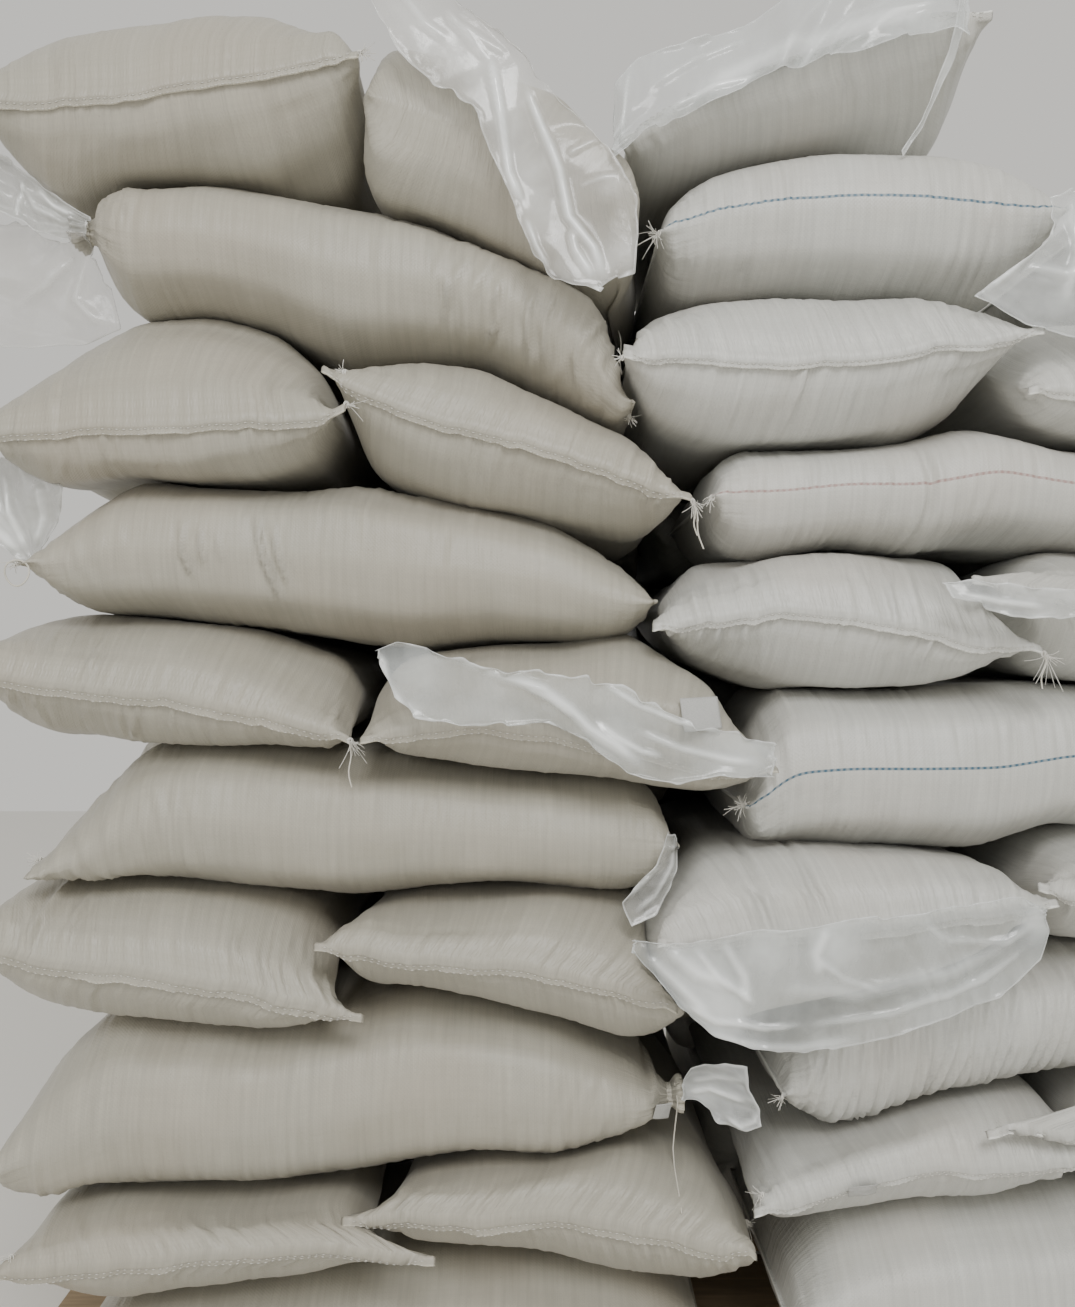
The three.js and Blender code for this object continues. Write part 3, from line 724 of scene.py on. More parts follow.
def math_node(tree, operation, first, second=None, third=None, clamp=False):
    """A Math node on sockets or plain numbers; returns its output."""
    node = tree.nodes.new("ShaderNodeMath")
    node.operation = operation
    node.use_clamp = clamp
    for socket, value in zip(node.inputs, (first, second, third)):
        if value is None:
            continue
        if isinstance(value, (int, float)):
            socket.default_value = value
        else:
            tree.links.new(value, socket)
    return node.outputs[0]


def stretched(tree, vector, scale, shift=(0.0, 0.0, 0.0)):
    """A vector socket scaled along each axis."""
    node = tree.nodes.new("ShaderNodeMapping")
    node.inputs["Scale"].default_value = scale
    node.inputs["Location"].default_value = shift
    tree.links.new(vector, node.inputs["Vector"])
    return node.outputs[0]


def noise_node(tree, vector, scale, detail=2.0, roughness=0.5):
    """A noise texture's value on a vector socket."""
    node = tree.nodes.new("ShaderNodeTexNoise")
    node.inputs["Scale"].default_value = scale
    node.inputs["Detail"].default_value = detail
    node.inputs["Roughness"].default_value = roughness
    tree.links.new(vector, node.inputs["Vector"])
    return node.outputs["Fac"]


def ramp(tree, value, low, high):
    """A value spread from low to high over 0 to 1."""
    node = tree.nodes.new("ShaderNodeMapRange")
    node.inputs["From Min"].default_value = low
    node.inputs["From Max"].default_value = high
    tree.links.new(value, node.inputs["Value"])
    return node.outputs[0]


def mixed(tree, amount, first, second):
    """Two colours mixed by an amount; each may be a socket or plain numbers."""
    node = tree.nodes.new("ShaderNodeMix")
    node.data_type = "RGBA"
    for socket, value in ((node.inputs[0], amount), (node.inputs[6], first), (node.inputs[7], second)):
        if isinstance(value, (int, float)):
            socket.default_value = value
        elif isinstance(value, tuple):
            socket.default_value = (*value, 1.0)
        else:
            tree.links.new(value, socket)
    return node.outputs[2]


def product(tree, first, second):
    """Two values multiplied."""
    return math_node(tree, "MULTIPLY", first, second)


def object_place(tree):
    """The place on an object, in metres."""
    return tree.nodes.new("ShaderNodeTexCoord").outputs["Object"]


def attribute(tree, name):
    """A number that the mesh carries under a name."""
    node = tree.nodes.new("ShaderNodeAttribute")
    node.attribute_name = name
    return node.outputs["Fac"]


def toned(colour, factor):
    """A colour made darker or lighter."""
    return tuple(min(1.0, c * factor) for c in colour)


def tape_weave_group():
    """Flat tapes woven over and under each other; Map is in metres, and Shade is lowest where the tapes meet.
    """
    group, start, end = new_group("tape_weave",
                                  [("Map", "NodeSocketVector", None), ("Tape", "NodeSocketFloat", 0.0025)],
                                  [("Height", "NodeSocketFloat"), ("Shade", "NodeSocketFloat")])
    count = math_node(group, "DIVIDE", math.pi, start.outputs["Tape"])
    split = group.nodes.new("ShaderNodeSeparateXYZ")
    group.links.new(start.outputs["Map"], split.inputs[0])
    across = math_node(group, "SINE", product(group, split.outputs[0], count))
    along = math_node(group, "SINE", product(group, split.outputs[1], count))
    over = product(group, across, along)
    group.links.new(math_node(group, "MULTIPLY_ADD", over, 0.5, 0.5), end.inputs["Height"])
    edge = product(group, math_node(group, "ABSOLUTE", across), math_node(group, "ABSOLUTE", along))
    group.links.new(math_node(group, "POWER", edge, 0.35), end.inputs["Shade"])
    return group


def tape_streaks_group():
    """Long thin streaks where single tapes are lighter, darker or slack; Round varies along x of the map."""
    group, start, end = new_group("tape_streaks",
                                  [("Map", "NodeSocketVector", None)],
                                  [("Round", "NodeSocketFloat"), ("Along", "NodeSocketFloat"),
                                   ("Height", "NodeSocketFloat")])
    source = start.outputs["Map"]
    round_it = noise_node(group, stretched(group, source, (130.0, 6.0, 1.0)), 1.0, 3.0, 0.6)
    along = noise_node(group, stretched(group, source, (6.0, 120.0, 1.0), (3.1, 1.7, 0.0)), 1.0, 3.0, 0.6)
    fine = noise_node(group, stretched(group, source, (300.0, 26.0, 1.0), (0.0, 5.0, 0.0)), 1.0, 2.0, 0.5)
    patch = noise_node(group, stretched(group, source, (7.0, 9.0, 1.0), (2.0, 8.0, 0.0)), 1.0, 2.0)
    strong = math_node(group, "MULTIPLY_ADD", ramp(group, patch, 0.3, 0.7), 0.8, 0.35)
    group.links.new(round_it, end.inputs["Round"])
    group.links.new(along, end.inputs["Along"])
    both = math_node(group, "ADD", product(group, round_it, strong), product(group, along, 0.22))
    group.links.new(math_node(group, "MULTIPLY_ADD", fine, 0.3, both), end.inputs["Height"])
    return group


def hem_pleats_group():
    """Fine pleats that run away from a hem, in the cloth within Reach of it; the map's y is along the hem."""
    group, start, end = new_group("hem_pleats",
                                  [("Map", "NodeSocketVector", None), ("Seam", "NodeSocketFloat", 0.0),
                                   ("Reach", "NodeSocketFloat", 0.08)],
                                  [("Height", "NodeSocketFloat")])
    cloth = stretched(group, start.outputs["Map"], (8.0, 95.0, 1.0), (1.3, 2.2, 0.0))
    pleat = noise_node(group, cloth, 1.0, 2.0, 0.5)
    share = math_node(group, "DIVIDE", start.outputs["Seam"], start.outputs["Reach"])
    group.links.new(product(group, pleat, ramp(group, share, 1.0, 0.0)), end.inputs["Height"])
    return group


def handling_dirt_group():
    """Soft stains and specks that handling and stacking leave; Place is in metres."""
    group, start, end = new_group("handling_dirt",
                                  [("Place", "NodeSocketVector", None), ("Amount", "NodeSocketFloat", 0.5)],
                                  [("Stain", "NodeSocketFloat"), ("Speck", "NodeSocketFloat")])
    source = start.outputs["Place"]
    broad = noise_node(group, source, 3.2, 4.0, 0.6)
    narrow = noise_node(group, stretched(group, source, (1.0, 1.0, 1.6), (4.0, 2.0, 7.0)), 11.0, 5.0, 0.65)
    stain = product(group, ramp(group, broad, 0.42, 0.78), ramp(group, narrow, 0.35, 0.75))
    speck = ramp(group, noise_node(group, source, 240.0, 2.0, 0.5), 0.71, 0.80)
    for label, value in (("Stain", stain), ("Speck", speck)):
        group.links.new(product(group, value, start.outputs["Amount"]), end.inputs[label])
    return group


tape_weave = tape_weave_group()
tape_streaks = tape_streaks_group()
hem_pleats = hem_pleats_group()
handling_dirt = handling_dirt_group()


def placed(tree, group, links):
    """A node group placed in a material, with its inputs linked or set."""
    node = tree.nodes.new("ShaderNodeGroup")
    node.node_tree = group
    for label, value in links.items():
        if isinstance(value, (int, float)):
            node.inputs[label].default_value = value
        else:
            tree.links.new(value, node.inputs[label])
    return node


def new_material(name, roughness):
    """A material with one Principled BSDF; returns it, its tree and its shader."""
    material = bpy.data.materials.new(name)
    material.use_nodes = True
    shader = material.node_tree.nodes["Principled BSDF"]
    shader.inputs["Roughness"].default_value = roughness
    return material, material.node_tree, shader


def bumped(tree, shader, layers):
    """One bump from layers of relief, each a height from 0 to 1 and its depth in metres."""
    total = 0.0
    for height, depth in layers:
        total = math_node(tree, "MULTIPLY_ADD", height, depth, total)
    bump = tree.nodes.new("ShaderNodeBump")
    bump.inputs["Strength"].default_value = 1.0
    bump.inputs["Distance"].default_value = 1.0
    tree.links.new(total, bump.inputs["Height"])
    tree.links.new(bump.outputs[0], shader.inputs["Normal"])


def sack_cloth(name, colour, worn, end_on=False, stripe=None):
    """Woven plastic tape cloth: streaks, pleats at its hems, handling dirt and on some a coloured tape, with
    painted shade between the tapes and a painted highlight along the hem's edge.
    """
    material, tree, shader = new_material(name, 0.42)
    cloth = tree.nodes.new("ShaderNodeUVMap")
    cloth.uv_map = "cloth"
    split = tree.nodes.new("ShaderNodeSeparateXYZ")
    tree.links.new(cloth.outputs[0], split.inputs[0])
    place = object_place(tree)
    seam = attribute(tree, "seam")
    upright = tree.nodes.new("ShaderNodeCombineXYZ")
    tree.links.new(split.outputs[1 if end_on else 0], upright.inputs[0])
    tree.links.new(split.outputs[0 if end_on else 1], upright.inputs[1])
    weave = placed(tree, tape_weave, {"Map": cloth.outputs[0], "Tape": 0.0026})
    streaks = placed(tree, tape_streaks, {"Map": upright.outputs[0]})
    pleats = placed(tree, hem_pleats, {"Map": cloth.outputs[0], "Seam": seam, "Reach": 0.085})
    dirt = placed(tree, handling_dirt, {"Place": place, "Amount": worn})
    tone = ramp(tree, streaks.outputs["Round"], 0.30, 0.70)
    tone = mixed(tree, tone, toned(colour, 0.88), toned(colour, 1.08))
    dull = mixed(tree, 0.5, tone, toned(colour, 0.92))
    tone = mixed(tree, ramp(tree, streaks.outputs["Along"], 0.62, 0.30), tone, dull)
    # Painted shade: the cloth is painted darker where the tapes meet, standing in for the shade between them
    tape_gap_shade = product(tree, ramp(tree, weave.outputs["Shade"], 0.9, 0.2), 0.14)
    tone = mixed(tree, tape_gap_shade, tone, toned(colour, 0.62))
    blush = noise_node(tree, stretched(tree, place, (1.0, 1.0, 1.0), (9.0, 3.0, 1.0)), 5.0, 2.0)
    blush = product(tree, ramp(tree, blush, 0.45, 0.75), 0.30)
    tone = mixed(tree, blush, tone, (colour[0], colour[1] * 0.90, colour[2] * 0.84))
    tone = mixed(tree, dirt.outputs["Stain"], tone, STAIN_TONE)
    tone = mixed(tree, dirt.outputs["Speck"], tone, SPECK_TONE)
    # Painted highlight: the hem's outer edge is painted lighter, standing in for the lit rim of the fold
    edge = product(tree, ramp(tree, seam, *HEM_HIGHLIGHT_SPAN), 0.8)
    tone = mixed(tree, edge, tone, toned(colour, HEM_EDGE_HIGHLIGHT))
    if stripe:
        off = math_node(tree, "ABSOLUTE", math_node(tree, "SUBTRACT", split.outputs[1], STRIPE_PLACE))
        band = ramp(tree, off, STRIPE_HALF, STRIPE_HALF * 0.7)
        run = product(tree, split.outputs[0], math.pi / STRIPE_TAPE)
        dots = math_node(tree, "MULTIPLY_ADD", math_node(tree, "SINE", run), 0.22, 0.78)
        tone = mixed(tree, product(tree, band, dots), tone, stripe)
    tree.links.new(tone, shader.inputs["Base Color"])
    rough = math_node(tree, "MULTIPLY_ADD", streaks.outputs["Round"], 0.16, 0.34)
    rough = math_node(tree, "MULTIPLY_ADD", dirt.outputs["Stain"], 0.25, rough)
    tree.links.new(rough, shader.inputs["Roughness"])
    shader.inputs["Specular IOR Level"].default_value = 0.5
    shader.inputs["Sheen Weight"].default_value = 0.10
    shader.inputs["Sheen Roughness"].default_value = 0.4
    wrinkle = noise_node(tree, place, 26.0, 4.0, 0.6)
    bumped(tree, shader, [(wrinkle, 0.0009), (pleats.outputs["Height"], 0.0028),
                          (streaks.outputs["Height"], 0.00136), (weave.outputs["Height"], 0.0002)])
    return material


def film_material(name, colour, alpha_low, alpha_high, roughness):
    """Thin clear film, milky and whiter where it is creased: partly its milkiness, partly painted highlight.
    """
    material, tree, shader = new_material(name, roughness)
    place = object_place(tree)
    cloud = noise_node(tree, place, 13.0, 3.0, 0.55)
    crinkle = noise_node(tree, stretched(tree, place, (1.0, 1.0, 1.7)), 45.0, 4.0, 0.6)
    # The crease attribute holds milkiness and painted highlights: whiter and more opaque along folds, at
    # patches and at edges
    milk_and_highlight = attribute(tree, "crease")
    tone = mixed(tree, ramp(tree, cloud, 0.35, 0.7), toned(colour, 0.93), colour)
    tone = mixed(tree, milk_and_highlight, tone, FILM_WHITE)
    tree.links.new(tone, shader.inputs["Base Color"])
    alpha = math_node(tree, "MULTIPLY_ADD", ramp(tree, cloud, 0.38, 0.66), alpha_high - alpha_low, alpha_low)
    alpha = math_node(tree, "MULTIPLY_ADD", milk_and_highlight, 0.68, alpha, clamp=True)
    tree.links.new(alpha, shader.inputs["Alpha"])
    shader.inputs["Specular IOR Level"].default_value = 0.8
    bumped(tree, shader, [(crinkle, 0.0005)])
    return material


def twine_material(name, colour):
    """Twisted twine, and the fibres of paper."""
    material, tree, shader = new_material(name, 0.75)
    fibre = noise_node(tree, object_place(tree), 900.0, 3.0, 0.6)
    tone = mixed(tree, ramp(tree, fibre, 0.3, 0.7), toned(colour, 0.72), colour)
    tree.links.new(tone, shader.inputs["Base Color"])
    bumped(tree, shader, [(fibre, 0.0003)])
    return material


def timber_material(name, colour):
    """Sawn pallet timber with grain, rings and dirt; the grain runs along x."""
    material, tree, shader = new_material(name, 0.8)
    place = object_place(tree)
    warp = noise_node(tree, stretched(tree, place, (1.2, 9.0, 9.0)), 1.0, 2.0)
    grain = noise_node(tree, stretched(tree, place, (4.0, 90.0, 90.0)), 1.0, 6.0, 0.65)
    phase = math_node(tree, "MULTIPLY_ADD", warp, 60.0, product(tree, grain, 5.0))
    rings = math_node(tree, "SINE", phase)
    tone = mixed(tree, ramp(tree, grain, 0.3, 0.7), toned(colour, 0.62), colour)
    tone = mixed(tree, product(tree, ramp(tree, rings, 0.2, 1.0), 0.4), tone, toned(colour, 0.55))
    dirt = placed(tree, handling_dirt, {"Place": place, "Amount": 0.7})
    tone = mixed(tree, dirt.outputs["Stain"], tone, WOOD_STAIN_TONE)
    tree.links.new(tone, shader.inputs["Base Color"])
    tree.links.new(math_node(tree, "MULTIPLY_ADD", grain, 0.3, 0.62), shader.inputs["Roughness"])
    bumped(tree, shader, [(grain, 0.0009), (rings, 0.0002)])
    return material


ivory_cloth = sack_cloth("ivory_cloth", IVORY, 0.40)
ivory_cloth_end_on = sack_cloth("ivory_cloth_end_on", IVORY, 0.40, end_on=True)
white_cloth = sack_cloth("white_cloth", WHITE, 0.28)
white_cloth_end_on = sack_cloth("white_cloth_end_on", WHITE, 0.28, end_on=True)
blue_striped_cloth = sack_cloth("blue_striped_cloth", WHITE, 0.28, stripe=BLUE_TAPE)
red_striped_cloth = sack_cloth("red_striped_cloth", WHITE, 0.28, stripe=RED_TAPE)
clear_film = film_material("clear_film", (0.62, 0.60, 0.56), 0.10, 0.26, 0.15)
liner_film = film_material("liner_film", (0.70, 0.73, 0.72), 0.14, 0.30, 0.15)
milky_film = film_material("milky_film", (0.74, 0.76, 0.75), 0.24, 0.44, 0.18)
hazy_film = film_material("hazy_film", (0.50, 0.50, 0.47), 0.34, 0.56, 0.20)
tag_paper = twine_material("tag_paper", (0.52, 0.52, 0.50))
pallet_timber = timber_material("pallet_timber", (0.46, 0.34, 0.21))
sewing_thread = twine_material("sewing_thread", (0.80, 0.78, 0.72))
tie_twine = twine_material("tie_twine", (0.72, 0.69, 0.60))


# Sacks end on: how far the hem turns, its gathers, their height and reach, and creases as line, width, height
END_ON = {
    "layer10_sack_1": {"turn": -1.1, "gathers": 36, "height": 0.0030, "reach": 0.06, "taper": 0.0},
    "layer10_sack_2": {
        "turn": -1.2, "gathers": 0, "height": 0.0, "reach": 0.07, "hem": NO_HEM, "power": 0.5,
        "forward": 0.0, "taper": 0.0, "drift": 0.026,
        "bulges": [(-0.445, 1.855, 0.055, 0.022), (-0.105, 1.645, 0.050, -0.045)]},
    "layer10_sack_3": {
        "turn": 0.9, "gathers": 70, "height": 0.0034, "reach": 0.07, "lean": 0.15,
        "taper": 0.0},
    "layer08_sack_1": {"turn": DOWN, "gathers": 48, "height": 0.0034, "reach": 0.07},
    "layer08_sack_2": {"turn": -1.0, "gathers": 66, "height": 0.0042, "reach": 0.08},
    "layer08_sack_3": {"turn": DOWN, "gathers": 84, "height": 0.0046, "reach": 0.10, "hem": 0.010},
    "layer08_sack_4": {"turn": DOWN, "gathers": 44, "height": 0.0034, "reach": 0.07},
    "layer06_sack_1": {
        "turn": DOWN, "gathers": 70, "height": 0.0044, "reach": 0.10,
        "creases": [([(-0.790, 1.250), (-0.802, 1.190), (-0.812, 1.165)], 0.006, 0.006)], "hem": 0.016},
    "layer06_sack_2": {
        "turn": -0.9, "gathers": 44, "height": 0.0032, "reach": 0.07,
        "bulges": [(-0.022, 1.135, 0.065, 0.030), (-0.105, 1.200, 0.070, 0.024)]},
    "layer06_sack_3": {"turn": -1.1, "gathers": 84, "height": 0.0044, "reach": 0.09},
    "layer06_sack_4": {"turn": DOWN, "gathers": 60, "height": 0.0042, "reach": 0.08},
    "layer04_sack_1": {
        "turn": DOWN, "gathers": 64, "height": 0.0040, "reach": 0.09,
        "creases": [([(-0.858, 0.908), (-0.872, 0.865), (-0.890, 0.825)], 0.007, 0.007),
                    ([(-0.822, 0.895), (-0.835, 0.850), (-0.842, 0.815)], 0.006, 0.005)], "hem": 0.018},
    "layer04_sack_2": {"turn": -1.1, "gathers": 60, "height": 0.0036, "reach": 0.08, "hem": 0.014},
    "layer04_sack_3": {
        "turn": -0.9, "gathers": 90, "height": 0.0034, "reach": 0.08, "lean": 0.15,
        "creases": [([(0.046, 0.960), (0.058, 0.905), (0.064, 0.870)], 0.006, -0.006),
                    ([(0.116, 0.955), (0.130, 0.905), (0.138, 0.880)], 0.006, -0.006)]},
    "layer04_sack_4": {"turn": DOWN, "gathers": 60, "height": 0.0042, "reach": 0.08},
    "layer02_sack_1": {"turn": DOWN, "gathers": 50, "height": 0.0034, "reach": 0.08, "hem": 0.016},
    "layer02_sack_2": {"turn": DOWN, "gathers": 70, "height": 0.0042, "reach": 0.10, "hem": 0.017},
    "layer02_sack_3": {
        "turn": -1.0, "gathers": 66, "height": 0.0044, "reach": 0.10,
        "creases": [([(0.070, 0.640), (0.092, 0.575), (0.104, 0.530)], 0.006, -0.008),
                    ([(0.032, 0.600), (0.052, 0.545), (0.066, 0.500)], 0.007, 0.007),
                    ([(0.050, 0.605), (0.072, 0.550), (0.086, 0.505)], 0.006, 0.006)], "hem": 0.010},
    "layer02_sack_4": {"turn": -1.0, "gathers": 60, "height": 0.0040, "reach": 0.08},
}

# Sacks on their side: tips, how each end closes, and folds round them as span, pitch, height, reach, slant
SIDE_ON = {
    "layer09_sack_1": {
        "tips": (-0.850, -0.068), "ends": ("tied", -0.9), "gathers": 26, "height": 0.0022,
        "tapers": (BLUNT_END, BLUNT_END), "leans": (0.0, 0.14),
        "bulges": [(-0.118, 1.665, 0.080, 0.038), (-0.215, 1.720, 0.080, 0.012)],
        "folds": [((0.03, 0.09), 0.010, 0.0034, (-0.06, 0.10), 0.2),
                  ((0.50, 0.76), 0.024, 0.0030, (-0.10, 0.10), 0.25)],
        "creases": [([(-0.345, 1.715), (-0.340, 1.680), (-0.348, 1.640)], 0.0034, 0.0075),
                    ([(-0.322, 1.690), (-0.316, 1.655), (-0.320, 1.630)], 0.0034, 0.0028),
                    ([(-0.275, 1.700), (-0.272, 1.650), (-0.295, 1.615)], 0.0036, 0.0072),
                    ([(-0.222, 1.700), (-0.235, 1.650), (-0.225, 1.590)], 0.0038, 0.0085),
                    ([(-0.200, 1.690), (-0.212, 1.640), (-0.206, 1.580)], 0.0036, 0.0062),
                    ([(-0.150, 1.655), (-0.168, 1.600), (-0.160, 1.550)], 0.0042, 0.0075),
                    ([(-0.128, 1.640), (-0.142, 1.590), (-0.128, 1.545)], 0.0042, 0.0036)]},
    "layer09_sack_2": {
        "tips": (-0.084, 0.500), "ends": (0.15, 0.0), "gathers": 30, "height": 0.0028,
        "tapers": (BLUNT_END, END_LENGTH), "sinks": (0.042, 0.0),
        "folds": [((0.03, 0.20), 0.012, 0.0034, (-0.11, 0.09), -0.1),
                  ((0.20, 0.42), 0.012, 0.0010, (-0.12, 0.06), 0.0),
                  ((0.40, 0.54), 0.017, 0.0034, (-0.15, 0.05), 0.05)]},
    "layer09_sack_3": {
        "tips": (0.512, 0.968), "ends": (0.0, 0.0), "gathers": 26, "height": 0.0022,
        "folds": [((0.05, 0.40), 0.016, 0.0020, (-0.13, 0.10), 0.0)]},
    "layer07_sack_1": {
        "tips": (-0.925, -0.040), "ends": (0.1, -0.1), "gathers": 22, "height": 0.0022,
        "folds": [((0.05, 0.20), 0.020, 0.0022, (-0.10, 0.06), -0.15)],
        "ribs": 0.0008,
        "creases": [([(-0.690, 1.386), (-0.688, 1.340), (-0.670, 1.298)], 0.0036, 0.0082),
                    ([(-0.668, 1.380), (-0.664, 1.345), (-0.655, 1.314)], 0.0034, 0.0062),
                    ([(-0.645, 1.370), (-0.640, 1.345), (-0.632, 1.320)], 0.0034, 0.0045),
                    ([(-0.596, 1.402), (-0.584, 1.335), (-0.556, 1.265)], 0.0038, 0.0092),
                    ([(-0.572, 1.384), (-0.562, 1.330), (-0.545, 1.286)], 0.0036, 0.0065)]},
    "layer07_sack_2": {
        "tips": (-0.014, 0.862), "ends": (0.1, 0.0), "gathers": 28, "height": 0.0026,
        "tapers": (BLUNT_END, END_LENGTH),
        "folds": [((0.04, 0.27), 0.015, 0.0026, (-0.12, 0.05), 0.0),
                  ((0.30, 0.45), 0.022, 0.0028, (-0.12, 0.02), 0.1),
                  ((0.45, 0.80), 0.020, 0.0014, (-0.12, 0.06), 0.0)],
        "creases": [([(0.289, 1.495), (0.299, 1.440), (0.296, 1.360)], 0.007, -0.007)]},
    "layer05_sack_1": {
        "tips": (-0.915, -0.012), "ends": (0.1, -0.1), "gathers": 24, "height": 0.0024,
        "tapers": (END_LENGTH, BLUNT_END),
        "folds": [((0.05, 0.26), 0.018, 0.0034, (-0.12, 0.05), -0.2),
                  ((0.80, 0.88), 0.012, 0.0026, (-0.10, 0.08), 0.0),
                  ((0.26, 0.80), 0.024, 0.0009, (-0.13, 0.05), 0.0)]},
    "layer05_sack_2": {
        "tips": (0.030, 0.890), "ends": (0.1, 0.0), "gathers": 30, "height": 0.0028,
        "tapers": (BLUNT_END, END_LENGTH),
        "folds": [((0.03, 0.22), 0.012, 0.0034, (-0.10, 0.08), -0.1),
                  ((0.22, 0.80), 0.015, 0.0018, (-0.12, 0.08), 0.0)]},
    "layer03_sack_1": {
        "tips": (-0.968, -0.026), "ends": (0.1, "tied"), "gathers": 22, "height": 0.0022,
        "folds": [((0.05, 0.50), 0.019, 0.0022, (-0.14, 0.00), 0.0),
                  ((0.60, 0.90), 0.022, 0.0016, (-0.14, 0.06), 0.2)]},
    "layer03_sack_2": {
        "tips": (0.082, 0.905), "ends": (0.3, 0.0), "gathers": 24, "height": 0.0026,
        "folds": [((0.03, 0.62), 0.0155, 0.0060, (-0.15, 0.10), 0.22),
                  ((0.62, 0.82), 0.016, 0.0030, (-0.12, 0.08), 0.2)]},
    "layer01_sack_1": {
        "tips": (-0.890, 0.040), "ends": (0.1, 0.0), "gathers": 24, "height": 0.0024,
        "folds": [((0.05, 0.80), 0.020, 0.0016, (-0.12, 0.08), 0.0)]},
    "layer01_sack_2": {
        "tips": (0.095, 0.925), "ends": (0.1, 0.0), "gathers": 24, "height": 0.0022,
        "folds": [((0.05, 0.80), 0.022, 0.0010, (-0.12, 0.08), 0.0)]},
}
BLUE_STRIPED = ("layer09_sack_2", "layer05_sack_2")
RED_STRIPED = ("layer07_sack_2",)


def in_right_column(node):
    """Whether a sack lies in the right column, as the last ones of its layer do."""
    if "back" in node:
        return node.endswith("right")
    return int(node[-1]) > (1 if node in SIDE_ON else 2)


def cloth_of(node, end_on):
    """The material and the record's slot of a sack."""
    if node in BLUE_STRIPED:
        return blue_striped_cloth, "sack_white"
    if node in RED_STRIPED:
        return red_striped_cloth, "sack_white"
    if in_right_column(node):
        return white_cloth_end_on if end_on else white_cloth, "sack_white"
    return ivory_cloth_end_on if end_on else ivory_cloth, "sack_ivory"


def dressed(name, node, grid, u, v, seam, end_on):
    """A finished sack in place of its solid."""
    material, slot = cloth_of(node, end_on)
    piece = skin_object(name, grid, u, v, seam, material)
    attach(piece, "root")
    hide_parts(node)
    return piece


def lumps(u, v, girth, seed):
    """The uneven filling that shows through the cloth."""
    broad = cloth_noise(seed, u, v, girth, *LUMP_BROAD[1:])
    narrow = cloth_noise(seed + 1, u, v, girth, *LUMP_NARROW[1:])
    return LUMP_BROAD[0] * broad + LUMP_NARROW[0] * narrow


def bulges(grid, spots):
    """How far a skin stands out round some x, z places, each with its reach and height."""
    total = np.zeros(grid.shape[:2])
    for spot_x, spot_z, reach, height in spots:
        away = (grid[:, :, 0] - spot_x) ** 2 + (grid[:, :, 2] - spot_z) ** 2
        total += height * np.exp(-away / reach ** 2)
    return total


def pushed(grid, amount):
    """A grid moved along its outward normals."""
    return grid + outward(grid) * amount[:, :, None]


stitch_lines = {}
tie_rings = {}


def end_on_sack(node, look, seed):
    """A sack that lies end on, its hem to the front."""
    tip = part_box(node)[0][1]
    seam_place = tip + HEM_DEPTH
    length = FRONT_INNER_END - seam_place - INNER_CLEAR
    hem = (look["turn"], look.get("hem", FRONT_HEM))
    grid, u, v, seam, girth = sack_grid(
        node, 1, seam_place, 1.0, length, even_shares(FRONT_ROUND), False, (hem,), seed, FRONT_STEPS,
        power=look.get("power", END_POWER), forward=look.get("forward", HEM_FORWARD))
    centre = (grid[:, :, 0].min() + grid[:, :, 0].max()) / 2
    taper = look.get("taper", SIDE_TAPER)
    deeper = smooth(grid[:, :, 1], *SIDE_TAPER_DEPTHS)
    grid[:, :, 0] += (look.get("drift", 0.0) - taper * (grid[:, :, 0] - centre)) * deeper
    d = seam[:, None]
    w = v[None, :]
    on_body = smooth(d, *BODY_FADE)
    relief = lumps(u[:, None], w, girth, seed) * on_body
    relief = relief + gathers(d, w, girth, seed + 2, look["gathers"], look["height"], look["reach"],
                              look.get("lean", GATHER_LEAN))
    tapes = cloth_noise(seed + 5, u[:, None], w, girth, 0.09, 0.0085)
    relief = relief + TAPE_RELIEF * tapes * smooth(d, 0.0, 0.01) * (1 - smooth(d, 0.10, 0.2))
    for line, width, height in look.get("creases", ()):
        front = 1 - smooth(d, *END_CREASE_FADE)
        relief = relief + crease(grid[:, :, 0], grid[:, :, 2], line, width, height) * front
    relief = relief + bulges(grid, look.get("bulges", ())) * on_body
    grid = pushed(grid, relief)
    half = FRONT_ROUND // 2
    facing = slice(3, half - 2) if look["turn"] < 0 else slice(half + 3, FRONT_ROUND - 2)
    if hem[1] > NO_HEM:
        stitch_lines[node] = [grid[row, facing] for row in STITCH_ROWS]
    return dressed(node + "_skin", node, grid, u, v, seam, True)


